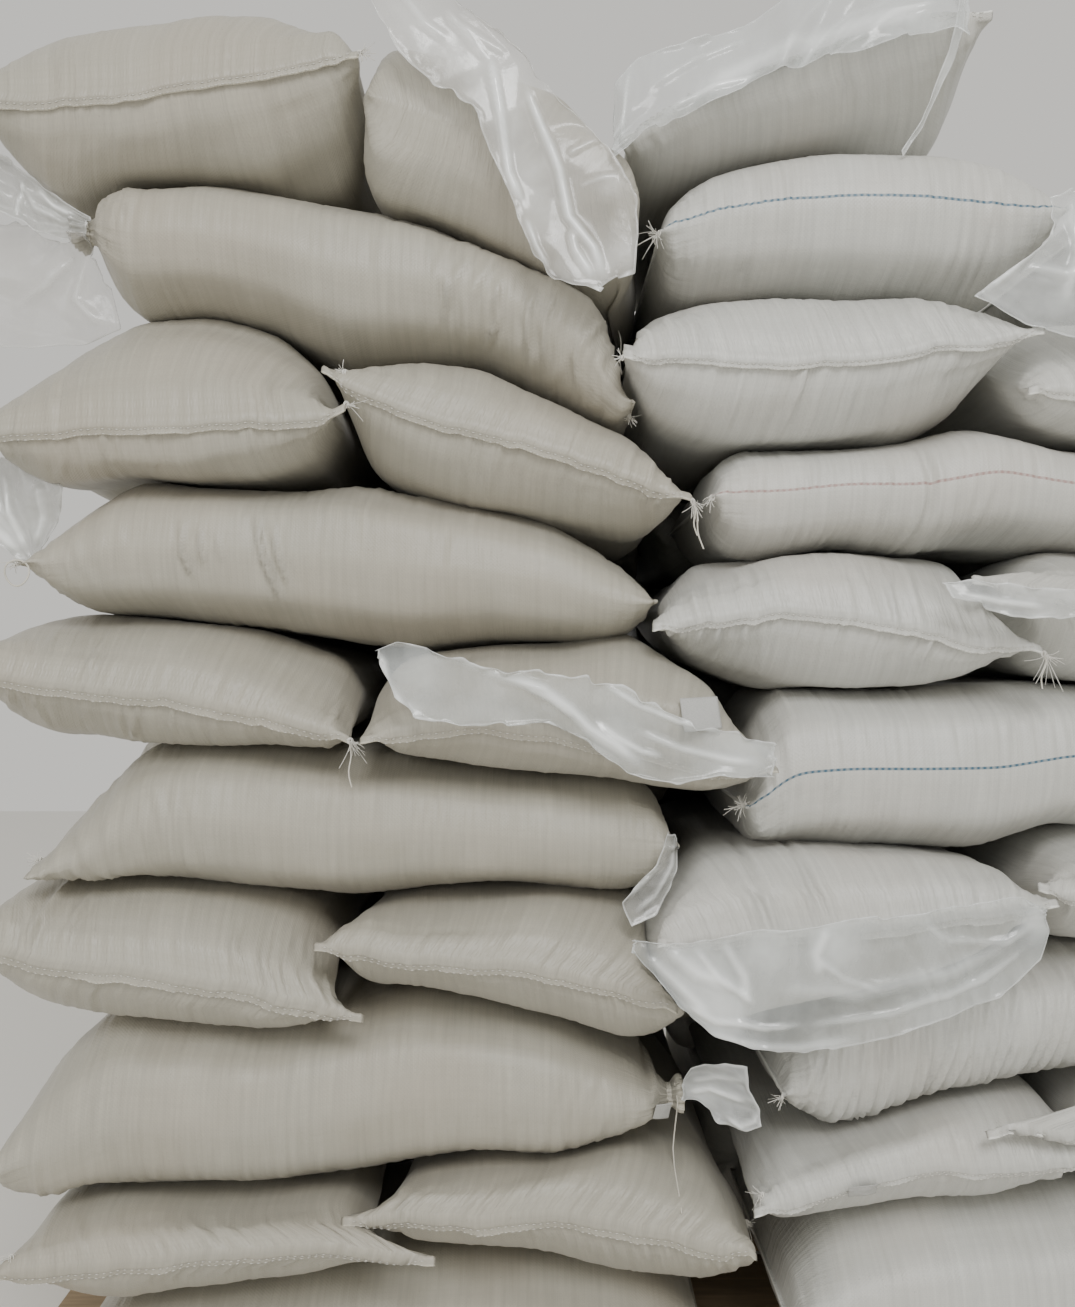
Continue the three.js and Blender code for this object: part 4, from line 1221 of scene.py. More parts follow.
def side_on_sack(node, look, seed):
    """A sack that lies on its side along the face of the stack."""
    start, end = look["tips"]
    length = end - start - 2 * HEM_DEPTH
    ends = tuple(turn if turn == "tied" else (turn, look.get("hem", SIDE_HEM)) for turn in look["ends"])
    grid, u, v, seam, girth = sack_grid(
        node, 0, start + HEM_DEPTH, 1.0, length, front_dense_shares(SIDE_ROUND), True, ends, seed, SIDE_STEPS,
        tapers=look.get("tapers", (END_LENGTH, END_LENGTH)))
    for tip, row, lean in zip(look["tips"], (0, -1), look.get("leans", (0.0, 0.0))):
        near_tip = 1 - smooth(np.abs(grid[:, :, 0] - tip), *LEAN_FADE)
        grid[:, :, 0] -= lean * near_tip * (grid[:, :, 2] - grid[row, :, 2].mean())
    for tip, sink in zip(look["tips"], look.get("sinks", (0.0, 0.0))):
        grid[:, :, 2] -= sink * (1 - smooth(np.abs(grid[:, :, 0] - tip), *SINK_FADE))
    d = seam[:, None]
    w = v[None, :]
    on_body = smooth(d, *BODY_FADE)
    relief = lumps(u[:, None], w, girth, seed) * on_body
    relief = relief + gathers(d, w, girth, seed + 2, look["gathers"], look["height"], SIDE_GATHER_REACH,
                              SIDE_GATHER_LEAN)
    relief = relief + patchy_ribs(u[:, None], w, girth, seed + 5, look.get("ribs", RIB_HEIGHT)) * on_body
    for number, (span, pitch, height, reach, slant) in enumerate(look.get("folds", ())):
        folds = girth_folds(u[:, None], w, seed + 11 + number, span, pitch, height, reach, slant)
        relief = relief + folds * on_body
    for line, width, height in look.get("creases", ()):
        front = 1 - smooth(np.abs(w), *SIDE_CREASE_FADE)
        relief = relief + crease(grid[:, :, 0], grid[:, :, 2], line, width, height) * front
    relief = relief + bulges(grid, look.get("bulges", ())) * on_body
    grid = pushed(grid, relief)
    if "tied" in ends:
        from_tip = len(NECK_ROWS) - 1 - NECK_ROWS.index(NECK_TIE)
        tie_rings[node] = grid[from_tip if ends[0] == "tied" else -1 - from_tip]
    return dressed(node + "_skin", node, grid, u, v, seam, False)


skins = {}
for number, (node, look) in enumerate(END_ON.items()):
    skins[node] = end_on_sack(node, look, END_ON_SEED + SEED_STEP * number)
for number, (node, look) in enumerate(SIDE_ON.items()):
    skins[node] = side_on_sack(node, look, SIDE_ON_SEED + SEED_STEP * number)


# The hidden row behind: in odd layers two sacks end on to each column, in even layers one on its side

def back_sack(name, node, along, seam_place, way, length, both_ends, ends, limits, seed):
    """A sack of the back row."""
    grid, u, v, seam, girth = sack_grid(
        node, along, seam_place, way, length, even_shares(BACK_ROUND), both_ends, ends, seed, BACK_STEPS,
        limits)
    d = seam[:, None]
    w = v[None, :]
    on_body = smooth(d, *BODY_FADE)
    relief = BACK_LUMPS * lumps(u[:, None], w, girth, seed) * on_body
    relief = relief + gathers(d, w, girth, seed + 2, *BACK_GATHERS)
    dressed(name, node, pushed(grid, relief), u, v, seam, along == 1)


def add_back_row():
    """Every sack of the back row, from the nineteen solids that hold them."""
    for layer in range(1, 11):
        for side, span in (("left", LEFT_BACK_SPAN), ("right", RIGHT_BACK_SPAN)):
            node = f"layer{layer:02d}_back_{side}"
            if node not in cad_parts:
                continue
            seed = BACK_SEED + SEED_STEP // 4 * (2 * layer + (side == "right"))
            low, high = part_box(node)
            if layer % 2 == 0:
                start, end = low[0], high[0]
                back_sack(node + "_skin", node, 0, start + HEM_DEPTH, 1.0, end - start - 2 * HEM_DEPTH, True,
                          ((0.0, SIDE_HEM), (0.0, SIDE_HEM)), NO_LIMITS, seed)
                continue
            split = (span[0] + span[1]) / 2
            length = BACK_TIP - HEM_DEPTH - BACK_INNER_END - INNER_CLEAR
            halves = ((NO_LIMITS[0], split - BACK_HALF_GAP), (split + BACK_HALF_GAP, NO_LIMITS[1]))
            for number, limits in enumerate(halves):
                back_sack(f"{node}_skin_{number + 1}", node, 1, BACK_TIP - HEM_DEPTH, -1.0, length, False,
                          ((BACK_TURN, FRONT_HEM),), limits, seed + 3 * number)


add_back_row()


# Films: the loose mouths of the clear liners

def front_of(trees, x, z, free_depth):
    """How far back the nearest skin lies behind each x, z point, or the free depth where none does."""
    depth = np.full(x.shape, free_depth)
    for index in np.ndindex(x.shape):
        start = Vector((x[index], IN_FRONT, z[index]))
        for tree in trees:
            hit = tree.ray_cast(start, Vector((0.0, 1.0, 0.0)))[0]
            if hit is not None and hit.y < depth[index]:
                depth[index] = hit.y
    return depth


graph = bpy.context.evaluated_depsgraph_get()
skin_trees = {node: BVHTree.FromObject(piece, graph) for node, piece in skins.items()}


def facets(a, b, seed, count, low, high, grain=None):
    """Flat facets with sharp edges between them, as in crumpled film; a and b are in metres."""
    rng = np.random.default_rng(seed)
    warp = flat_noise(seed + 1, a, b, 0.10, 0.12)
    total = np.zeros(a.shape)
    for _ in range(count):
        turn = rng.uniform(0, math.pi) if grain is None else rng.normal(grain, 0.25)
        waves = rng.uniform(low, high)
        run = (a * math.cos(turn) + b * math.sin(turn)) * waves + rng.uniform(0, 1) + 0.35 * warp
        total += 2 * np.abs(run % 1.0 - 0.5) / waves
    return total


def closed_sheet(name, points, milk_and_highlight_marks, material):
    """A grid of points as a thin closed sheet."""
    rows, columns = points.shape[:2]
    normal = np.cross(np.gradient(points, axis=0), np.gradient(points, axis=1))
    normal /= np.maximum(np.linalg.norm(normal, axis=2, keepdims=True), 1e-9)
    if normal[:, :, 1].sum() > 0:
        points = points[::-1]
        normal = -normal[::-1]
        milk_and_highlight_marks = milk_and_highlight_marks[::-1]
    both = np.concatenate([(points + way * normal * FILM_HALF).reshape(-1, 3) for way in (1, -1)])
    r = np.arange(rows - 1)[:, None] * columns
    c = np.arange(columns - 1)[None, :]
    front = np.stack([r + c, r + columns + c, r + columns + c + 1, r + c + 1], axis=-1).reshape(-1, 4)
    back = front[:, ::-1] + rows * columns
    top = list(range(columns))
    right = list(range(2 * columns - 1, rows * columns, columns))
    low = list(range(rows * columns - 2, (rows - 1) * columns - 1, -1))
    left = list(range((rows - 2) * columns, -1, -columns))
    rim = top + right + low + left
    wall = [(i, j, j + rows * columns, i + rows * columns) for i, j in zip(rim[:-1], rim[1:])]
    mesh = bpy.data.meshes.new(name)
    mesh.from_pydata(both.tolist(), [], front.tolist() + back.tolist() + wall)
    # The crease attribute carries the film's milkiness and its painted highlights
    mark = mesh.attributes.new("crease", "FLOAT", "POINT")
    mark.data.foreach_set("value", np.tile(milk_and_highlight_marks.reshape(-1), 2).astype(np.float32))
    return link(name, mesh, material)


def fold_lines(x, z, lines):
    """How far sharp folds along lines of x, z points stand out, and how milky they make the film, partly as a
    painted highlight.
    """
    lift = np.zeros(x.shape)
    milk_and_highlight = np.zeros(x.shape)
    for line, width, height, amount in lines:
        side, run = off_line(x, z, line)
        window = smooth(run, -0.02, 0.2) * (1 - smooth(run, 0.8, 1.02))
        lift += height * np.maximum(0.0, 1 - np.abs(side) / width) * window
        milk_and_highlight += amount * np.exp(-(side / (0.55 * width)) ** 2) * window
    return lift, milk_and_highlight


def film(name, rails, size, depths, over, seed, material, folds, pleats=None, frill=0.003, lines=(),
         patches=()):
    """A loose sheet on rails of x, z points, free at its depths and never inside the skins it hangs over.

    size is its rows and columns, and depths are its y at the four corners, first rail then last; folds are
    how many, low and high per metre, slope and grain; pleats run along the rails, and are how many and how
    high at the far end; lines are sharp folds as line, width, height, milkiness with painted highlight, and
    patches milky places with painted highlight as x, z, radius, milkiness."""
    rows, columns = size
    courses = np.array([evenly(rail, columns) for rail in rails])
    grid = between(courses, np.linspace(0, len(rails) - 1, rows))
    across, along = np.meshgrid(np.linspace(0, 1, rows), np.linspace(0, 1, columns), indexing="ij")
    wide = np.linalg.norm(grid[-1] - grid[0], axis=1).mean()
    long = np.linalg.norm(np.diff(courses, axis=1), axis=2).sum(axis=1).mean()
    a = across * wide
    b = along * long
    edge = np.minimum(np.minimum(a, wide - a), np.minimum(b, long - b))
    rough = flat_noise(seed, a, b, 0.011, 0.016) * frill * (1 - smooth(edge, 0.0, FILM_FRILL_FADE))
    x = grid[:, :, 0] + 0.5 * rough
    z = grid[:, :, 1] + 0.5 * rough
    first = depths[0][0] * (1 - along) + depths[0][1] * along
    last = depths[1][0] * (1 - along) + depths[1][1] * along
    free = first * (1 - across) + last * across
    behind = front_of([skin_trees[node] for node in over], x, z, NOTHING_BEHIND)
    depth = np.minimum(behind - FILM_CLING, free)
    depth = np.minimum(blurred(blurred(depth, FILM_BLUR, 0), FILM_BLUR, 1), behind - FILM_CLING)
    count, low, high, slope, grain = folds
    lift = slope * facets(a, b, seed + 3, count, low, high, grain)
    share, finer = FINE_FACETS
    lift = lift + share * slope * facets(a, b, seed + 4, count, finer * low, finer * high)
    if pleats:
        turns = across * pleats[0] + 0.45 * flat_noise(seed + 6, a, b, 0.05, 0.12)
        deep = 0.6 + 0.4 * flat_noise(seed + 7, a, b, 0.06, 0.20)
        lift = lift + pleats[1] * deep * np.abs(turns % 1.0 - 0.5) * 2 * smooth(along, -0.3, 0.8)
    bend = np.abs(np.gradient(np.gradient(lift, axis=0), axis=0))
    bend = bend + np.abs(np.gradient(np.gradient(lift, axis=1), axis=1))
    raised, milk_and_highlight = fold_lines(x, z, lines)
    lift = lift + raised
    lift = lift - lift.min() + np.abs(rough)
    # Painted highlights: milky patches, sharp bends and edges are painted whiter and more opaque, partly the
    # film's milkiness and partly standing in for its highlights
    for spot_x, spot_z, radius, amount in patches:
        milk_and_highlight = milk_and_highlight + amount * np.exp(-((x - spot_x) ** 2 + (z - spot_z) ** 2) / radius ** 2)
    marks = np.clip(FILM_CREASE_MILK_AND_HIGHLIGHT * np.clip(bend / FILM_SHARP_BEND, 0.0, 1.0) + milk_and_highlight, 0.0, 1.0)
    marks = np.maximum(marks, FILM_EDGE_MILK_AND_HIGHLIGHT * (1 - smooth(edge, *FILM_EDGE)))
    points = np.stack([x, depth - lift, z], axis=-1)
    piece = closed_sheet(name, points, marks, material)
    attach(piece, "root")


film("liner_layer10_sack_2",
     [[(-0.468, 2.128), (-0.434, 2.036), (-0.397, 1.976), (-0.375, 1.949), (-0.352, 1.930), (-0.323, 1.916),
       (-0.296, 1.891), (-0.280, 1.844), (-0.263, 1.811), (-0.249, 1.772), (-0.236, 1.733), (-0.220, 1.700),
       (-0.200, 1.679), (-0.154, 1.667), (-0.140, 1.662)],
      [(-0.385, 2.128), (-0.355, 2.060), (-0.327, 2.030), (-0.300, 2.012), (-0.268, 1.985), (-0.243, 1.960),
       (-0.237, 1.935), (-0.230, 1.909), (-0.211, 1.864), (-0.193, 1.818), (-0.181, 1.759), (-0.150, 1.718),
       (-0.134, 1.673)],
      [(-0.375, 2.130), (-0.345, 2.064), (-0.318, 2.034), (-0.290, 2.014), (-0.260, 1.990), (-0.235, 1.965),
       (-0.222, 1.938), (-0.193, 1.908), (-0.148, 1.871), (-0.123, 1.838), (-0.104, 1.805), (-0.095, 1.772),
       (-0.094, 1.733), (-0.098, 1.684)]],
     (50, 148), ((-0.735, -0.765), (-0.735, -0.765)), ["layer10_sack_2"], 71, clear_film,
     (3, 3, 7, 0.03, None),
     lines=[([(-0.430, 2.100), (-0.365, 2.000), (-0.300, 1.955), (-0.262, 1.890), (-0.232, 1.810),
              (-0.208, 1.745), (-0.165, 1.690)], 0.070, 0.0, 0.42),
            ([(-0.282, 1.975), (-0.273, 1.924), (-0.266, 1.883), (-0.257, 1.818), (-0.236, 1.770)],
             0.008, 0.006, 0.85),
            ([(-0.237, 1.935), (-0.230, 1.909), (-0.211, 1.864), (-0.193, 1.818), (-0.181, 1.759),
              (-0.150, 1.718), (-0.134, 1.675)], 0.009, 0.008, 0.95),
            ([(-0.340, 2.030), (-0.300, 1.985), (-0.282, 1.960)], 0.007, 0.004, 0.45),
            ([(-0.400, 2.060), (-0.365, 2.010), (-0.330, 1.985)], 0.007, 0.004, 0.35),
            ([(-0.318, 2.010), (-0.285, 1.985), (-0.258, 1.970)], 0.006, 0.004, 0.35),
            ([(-0.236, 1.760), (-0.222, 1.720), (-0.205, 1.690)], 0.006, 0.004, 0.55),
            ([(-0.180, 1.745), (-0.172, 1.715), (-0.150, 1.680)], 0.008, 0.004, 0.55),
            ([(-0.184, 1.838), (-0.160, 1.852), (-0.140, 1.862)], 0.005, 0.003, 0.35),
            ([(-0.166, 1.800), (-0.140, 1.808), (-0.116, 1.812)], 0.005, 0.003, 0.35),
            ([(-0.155, 1.668), (-0.137, 1.664), (-0.115, 1.675), (-0.099, 1.688)], 0.007, 0.002, 0.9)],
     patches=[(-0.155, 1.690, 0.030, 0.45), (-0.110, 1.712, 0.030, 0.35), (-0.260, 1.940, 0.030, 0.25),
              (-0.128, 1.800, 0.016, 0.35)])
film("liner_layer10_sack_3",
     [[(-0.124, 1.840), (-0.088, 1.868), (-0.024, 1.900), (0.053, 1.934), (0.118, 1.960), (0.182, 1.974),
       (0.247, 1.992), (0.311, 2.003), (0.327, 1.990)],
      [(-0.124, 1.868), (-0.090, 1.905), (-0.024, 1.945), (0.053, 1.982), (0.118, 2.012), (0.182, 2.035),
       (0.247, 2.055), (0.311, 2.070), (0.337, 2.050)],
      [(-0.122, 1.900), (-0.120, 1.955), (-0.088, 1.991), (-0.011, 2.011), (0.053, 2.036), (0.105, 2.070),
       (0.200, 2.110), (0.300, 2.130), (0.345, 2.105)]],
     (44, 132), ((-0.740, -0.740), (-0.690, -0.690)), ["layer10_sack_3"], 81, liner_film,
     (4, 6, 15, 0.07, None),
     lines=[([(-0.030, 1.920), (0.050, 1.968), (0.140, 2.000), (0.230, 2.030), (0.290, 2.045)],
             0.022, 0.004, 0.55),
            ([(-0.060, 1.905), (0.000, 1.935), (0.070, 1.950)], 0.008, 0.005, 0.5),
            ([(-0.112, 1.860), (-0.108, 1.920), (-0.100, 1.975)], 0.004, 0.003, 0.8),
            ([(-0.080, 1.940), (-0.010, 1.985), (0.060, 2.015)], 0.007, 0.005, 0.3),
            ([(0.200, 2.000), (0.240, 2.035), (0.300, 2.050)], 0.009, 0.006, 0.5)],
     patches=[(0.250, 2.020, 0.050, 0.35), (0.020, 1.945, 0.035, 0.3)])
film("rim_layer10_sack_3",
     [[(0.322, 2.075), (0.318, 2.020), (0.310, 1.985), (0.296, 1.945), (0.282, 1.905), (0.258, 1.868)],
      [(0.334, 2.080), (0.330, 2.015), (0.322, 1.980), (0.304, 1.940), (0.286, 1.900), (0.262, 1.862)]],
     (8, 60), ((-0.745, -0.700), (-0.735, -0.690)), ["layer10_sack_3"], 171, milky_film,
     (2, 9, 20, 0.04, None),
     patches=[(0.312, 1.985, 0.030, 0.5)])
film("liner_layer06_sack_2",
     [[(-0.421, 1.211), (-0.393, 1.223), (-0.356, 1.214), (-0.318, 1.199), (-0.268, 1.189), (-0.217, 1.182),
       (-0.155, 1.178), (-0.104, 1.162), (-0.066, 1.140), (-0.020, 1.116), (0.030, 1.108), (0.076, 1.090)],
      [(-0.419, 1.200), (-0.388, 1.180), (-0.345, 1.162), (-0.300, 1.152), (-0.243, 1.150), (-0.190, 1.140),
       (-0.150, 1.120), (-0.104, 1.100), (-0.060, 1.085), (-0.010, 1.075), (0.034, 1.075), (0.078, 1.070)],
      [(-0.417, 1.192), (-0.398, 1.152), (-0.374, 1.130), (-0.318, 1.116), (-0.268, 1.118), (-0.205, 1.122),
       (-0.160, 1.096), (-0.122, 1.066), (-0.092, 1.050), (-0.045, 1.044), (0.010, 1.056), (0.074, 1.050)]],
     (40, 150), ((-0.785, -0.770), (-0.785, -0.775)), ["layer06_sack_2"], 91, liner_film,
     (3, 4, 10, 0.04, 0.25),
     lines=[([(-0.417, 1.210), (-0.408, 1.170), (-0.385, 1.135)], 0.008, 0.006, 0.9),
            ([(-0.262, 1.180), (-0.215, 1.163), (-0.180, 1.138), (-0.155, 1.112), (-0.120, 1.090),
              (-0.088, 1.066)], 0.012, 0.010, 1.0),
            ([(-0.235, 1.165), (-0.205, 1.150), (-0.176, 1.128)], 0.005, 0.003, 0.8),
            ([(-0.150, 1.125), (-0.122, 1.103), (-0.090, 1.085), (-0.062, 1.078)], 0.006, 0.004, 0.8),
            ([(-0.140, 1.170), (-0.095, 1.143), (-0.045, 1.122), (0.010, 1.110)], 0.006, 0.005, 0.8),
            ([(-0.330, 1.205), (-0.260, 1.175), (-0.200, 1.160)], 0.010, 0.004, 0.3),
            ([(-0.100, 1.112), (-0.040, 1.088), (0.020, 1.074), (0.060, 1.070)], 0.008, 0.005, 0.6),
            ([(-0.418, 1.205), (-0.412, 1.165), (-0.390, 1.140), (-0.360, 1.128)], 0.014, 0.003, 0.5)],
     patches=[(-0.130, 1.100, 0.030, 0.30), (0.030, 1.085, 0.040, 0.40), (-0.360, 1.175, 0.050, 0.20)],
     frill=0.005)
film("liner_layer04_sack_3",
     [[(-0.103, 0.853), (-0.043, 0.850), (0.044, 0.863), (0.106, 0.869), (0.168, 0.876), (0.230, 0.882),
       (0.292, 0.891), (0.357, 0.904), (0.386, 0.904), (0.411, 0.888)],
      [(-0.103, 0.840), (-0.087, 0.820), (-0.056, 0.789), (-0.031, 0.757), (0.000, 0.733), (0.044, 0.718),
       (0.106, 0.714), (0.168, 0.720), (0.230, 0.733), (0.292, 0.757), (0.355, 0.782), (0.404, 0.826),
       (0.417, 0.863), (0.411, 0.880)]],
     (50, 148), ((-0.795, -0.780), (-0.795, -0.780)), ["layer04_sack_3", "layer03_sack_2"], 101, liner_film,
     (3, 4, 9, 0.04, 1.3),
     lines=[([(-0.088, 0.838), (-0.045, 0.797), (-0.004, 0.756)], 0.011, 0.006, 0.55),
            ([(-0.066, 0.848), (-0.022, 0.812), (0.030, 0.790)], 0.014, 0.006, 0.50),
            ([(-0.028, 0.846), (0.004, 0.806), (0.050, 0.772)], 0.007, 0.006, 0.50),
            ([(0.008, 0.852), (0.036, 0.806), (0.040, 0.768)], 0.010, 0.006, 0.55),
            ([(0.140, 0.868), (0.124, 0.835), (0.130, 0.805)], 0.012, 0.006, 0.50),
            ([(0.124, 0.830), (0.160, 0.803), (0.205, 0.790)], 0.007, 0.005, 0.35),
            ([(-0.045, 0.778), (0.000, 0.752), (0.060, 0.745), (0.110, 0.750)], 0.007, 0.005, 0.55),
            ([(0.060, 0.795), (0.180, 0.785), (0.300, 0.815), (0.390, 0.860)], 0.016, 0.006, 0.30),
            ([(0.100, 0.745), (0.220, 0.760), (0.330, 0.800), (0.395, 0.850)], 0.008, 0.004, 0.40),
            ([(0.250, 0.878), (0.290, 0.850), (0.360, 0.850), (0.400, 0.872)], 0.009, 0.004, 0.30),
            ([(-0.020, 0.742), (0.030, 0.724), (0.100, 0.720), (0.180, 0.728)], 0.010, 0.002, 0.45)],
     patches=[(-0.022, 0.808, 0.040, 0.45), (0.010, 0.772, 0.030, 0.30), (0.062, 0.835, 0.030, 0.45),
              (0.150, 0.845, 0.034, 0.45), (0.398, 0.875, 0.020, 0.5), (0.010, 0.748, 0.036, 0.40)])
film("neck_layer09_sack_1",
     [[(-0.834, 1.806), (-0.869, 1.826), (-0.903, 1.849), (-0.937, 1.877), (-0.960, 1.888), (-0.998, 1.900)],
      [(-0.832, 1.796), (-0.869, 1.806), (-0.903, 1.826), (-0.934, 1.850), (-0.958, 1.862), (-1.000, 1.868)],
      [(-0.832, 1.786), (-0.869, 1.788), (-0.903, 1.802), (-0.930, 1.826), (-0.956, 1.838), (-1.000, 1.840)],
      [(-0.834, 1.776), (-0.869, 1.773), (-0.903, 1.782), (-0.929, 1.800), (-0.955, 1.808), (-0.998, 1.806)]],
     (34, 56), ((-0.628, -0.650), (-0.628, -0.640)), ["layer09_sack_1"], 111, hazy_film,
     (3, 8, 18, 0.05, 1.5), pleats=(3, 0.010),
     lines=[([(-0.845, 1.800), (-0.880, 1.818), (-0.905, 1.845)], 0.007, 0.006, 0.7),
            ([(-0.870, 1.800), (-0.905, 1.815), (-0.922, 1.845)], 0.007, 0.006, 0.5),
            ([(-0.918, 1.850), (-0.926, 1.825), (-0.932, 1.802)], 0.006, 0.006, 0.8)])
film("liner_layer09_sack_1",
     [[(-0.834, 1.778), (-0.869, 1.775), (-0.903, 1.784), (-0.929, 1.802), (-0.998, 1.808)],
      [(-0.836, 1.765), (-0.860, 1.742), (-0.890, 1.735), (-0.930, 1.742), (-1.000, 1.750)],
      [(-0.830, 1.740), (-0.840, 1.705), (-0.875, 1.685), (-0.930, 1.690), (-1.000, 1.700)],
      [(-0.815, 1.715), (-0.802, 1.660), (-0.854, 1.640), (-0.930, 1.636), (-0.998, 1.640)]],
     (36, 50), ((-0.615, -0.600), (-0.600, -0.580)), ["layer09_sack_1"], 115, clear_film,
     (3, 5, 12, 0.05, None), pleats=(2, 0.006),
     lines=[([(-0.860, 1.760), (-0.900, 1.720), (-0.960, 1.690)], 0.010, 0.006, 0.35),
            ([(-0.850, 1.745), (-0.865, 1.700), (-0.830, 1.665)], 0.009, 0.006, 0.4)])
film("liner_layer07_sack_1",
     [[(-0.910, 1.330), (-0.935, 1.340), (-0.965, 1.365), (-0.985, 1.410), (-0.996, 1.455)],
      [(-0.908, 1.334), (-0.920, 1.362), (-0.940, 1.395), (-0.955, 1.430), (-0.962, 1.468)],
      [(-0.906, 1.336), (-0.905, 1.362), (-0.910, 1.395), (-0.918, 1.430), (-0.926, 1.470)],
      [(-0.900, 1.338), (-0.884, 1.362), (-0.866, 1.395), (-0.860, 1.428), (-0.872, 1.450), (-0.896, 1.464)]],
     (36, 48), ((-0.640, -0.670), (-0.640, -0.660)), ["layer07_sack_1"], 121, hazy_film,
     (3, 8, 16, 0.05, None), pleats=(4, 0.009),
     lines=[([(-0.915, 1.345), (-0.932, 1.395), (-0.938, 1.450)], 0.008, 0.007, 0.6),
            ([(-0.900, 1.350), (-0.890, 1.395), (-0.893, 1.440)], 0.009, 0.007, 0.5),
            ([(-0.925, 1.345), (-0.958, 1.380), (-0.978, 1.400)], 0.008, 0.008, 0.8)],
     patches=[(-0.940, 1.370, 0.030, 0.5)])
film("liner_layer03_sack_1",
     [[(-0.026, 0.618), (-0.014, 0.646), (0.004, 0.656), (0.030, 0.660), (0.057, 0.657)],
      [(-0.025, 0.613), (-0.006, 0.630), (0.016, 0.635), (0.040, 0.634), (0.062, 0.630)],
      [(-0.025, 0.608), (-0.004, 0.612), (0.018, 0.610), (0.042, 0.606), (0.072, 0.602)],
      [(-0.026, 0.602), (-0.006, 0.600), (0.012, 0.592), (0.030, 0.578), (0.052, 0.571), (0.074, 0.584)]],
     (30, 42), ((-0.640, -0.685), (-0.640, -0.690)), ["layer03_sack_1"], 131, milky_film,
     (3, 8, 18, 0.05, None), pleats=(2, 0.008),
     lines=[([(-0.018, 0.612), (0.010, 0.622), (0.036, 0.616), (0.058, 0.612)], 0.007, 0.007, 0.9),
            ([(-0.016, 0.628), (0.020, 0.640), (0.058, 0.640)], 0.006, 0.004, 0.4),
            ([(0.030, 0.590), (0.048, 0.580), (0.066, 0.590), (0.068, 0.600)], 0.006, 0.006, 0.7)],
     patches=[(0.000, 0.612, 0.022, 0.4)])
film("liner_layer09_sack_2",
     [[(0.434, 1.790), (0.470, 1.798), (0.525, 1.780)],
      [(0.428, 1.735), (0.470, 1.725), (0.535, 1.710)],
      [(0.372, 1.690), (0.430, 1.672), (0.540, 1.655)],
      [(0.335, 1.662), (0.400, 1.628), (0.470, 1.612), (0.530, 1.618)]],
     (38, 44), ((-0.740, -0.740), (-0.750, -0.740)),
     ["layer09_sack_2", "layer09_sack_3", "layer08_sack_3", "layer08_sack_4"], 141, milky_film,
     (4, 6, 14, 0.05, None),
     lines=[([(0.436, 1.785), (0.432, 1.740), (0.380, 1.692), (0.345, 1.664)], 0.007, 0.006, 0.8),
            ([(0.460, 1.790), (0.470, 1.720), (0.450, 1.650)], 0.011, 0.007, 0.5),
            ([(0.400, 1.700), (0.450, 1.690), (0.500, 1.700)], 0.009, 0.006, 0.4)])
film("liner_layer06_sack_4",
     [[(0.290, 1.296), (0.330, 1.300), (0.390, 1.292), (0.450, 1.288), (0.500, 1.288)],
      [(0.303, 1.279), (0.334, 1.268), (0.366, 1.258), (0.400, 1.250), (0.461, 1.252), (0.500, 1.256)]],
     (16, 56), ((-0.765, -0.765), (-0.765, -0.765)), ["layer06_sack_4"], 151, milky_film,
     (4, 8, 18, 0.05, 0.1),
     lines=[([(0.310, 1.282), (0.360, 1.272), (0.420, 1.266)], 0.007, 0.006, 0.8)])
film("liner_layer05_sack_1",
     [[(-0.050, 0.972), (-0.064, 0.932), (-0.090, 0.906), (-0.112, 0.882)],
      [(-0.040, 0.970), (-0.048, 0.928), (-0.076, 0.888), (-0.106, 0.866)],
      [(-0.034, 0.968), (-0.036, 0.925), (-0.062, 0.868), (-0.098, 0.852)]],
     (18, 40), ((-0.690, -0.715), (-0.690, -0.715)),
     ["layer05_sack_1", "layer04_sack_2", "layer04_sack_3"], 161, hazy_film, (3, 8, 18, 0.05, None),
     lines=[([(-0.040, 0.965), (-0.044, 0.930), (-0.066, 0.890), (-0.096, 0.866)], 0.005, 0.004, 0.5),
            ([(-0.060, 0.930), (-0.085, 0.905), (-0.105, 0.885)], 0.005, 0.003, 0.3)])


# Small bare pieces: blank paper tags and a scrap

def card(name, corners, over, curl, seed):
    """A small thin sheet between four x, z corners, lying in front of the skins under it."""
    top = np.array([corners[0], corners[1]])
    bottom = np.array([corners[3], corners[2]])
    a, b = np.meshgrid(*(np.linspace(0, 1, count) for count in CARD_SIZE), indexing="ij")
    upper = top[0] * (1 - b[:, :, None]) + top[1] * b[:, :, None]
    lower = bottom[0] * (1 - b[:, :, None]) + bottom[1] * b[:, :, None]
    x, z = np.moveaxis(upper * (1 - a[:, :, None]) + lower * a[:, :, None], -1, 0)
    behind = front_of([skin_trees[node] for node in over], x, z, NOTHING_BEHIND)
    met = behind < NOTHING_BEHIND
    behind = np.where(met, behind, behind[met].max() if met.any() else CARD_FREE)
    terms = np.column_stack([np.ones(a.size), a.ravel(), b.ravel()])
    plane = np.linalg.lstsq(terms, behind.ravel(), rcond=None)[0]
    plane[1:] = np.clip(plane[1:], -CARD_TILT, CARD_TILT)
    tilted = (terms @ plane).reshape(a.shape)
    depth = tilted + (behind - tilted).min() - CARD_CLEAR
    lift = curl * (np.sin(math.pi * b) * (0.5 + a)) + 0.25 * curl * flat_noise(seed, a, b, 0.3, 0.3)
    points = np.stack([x, depth - lift + lift.min(), z], axis=-1)
    piece = closed_sheet(name, points, np.zeros(a.shape), tag_paper)
    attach(piece, "root")


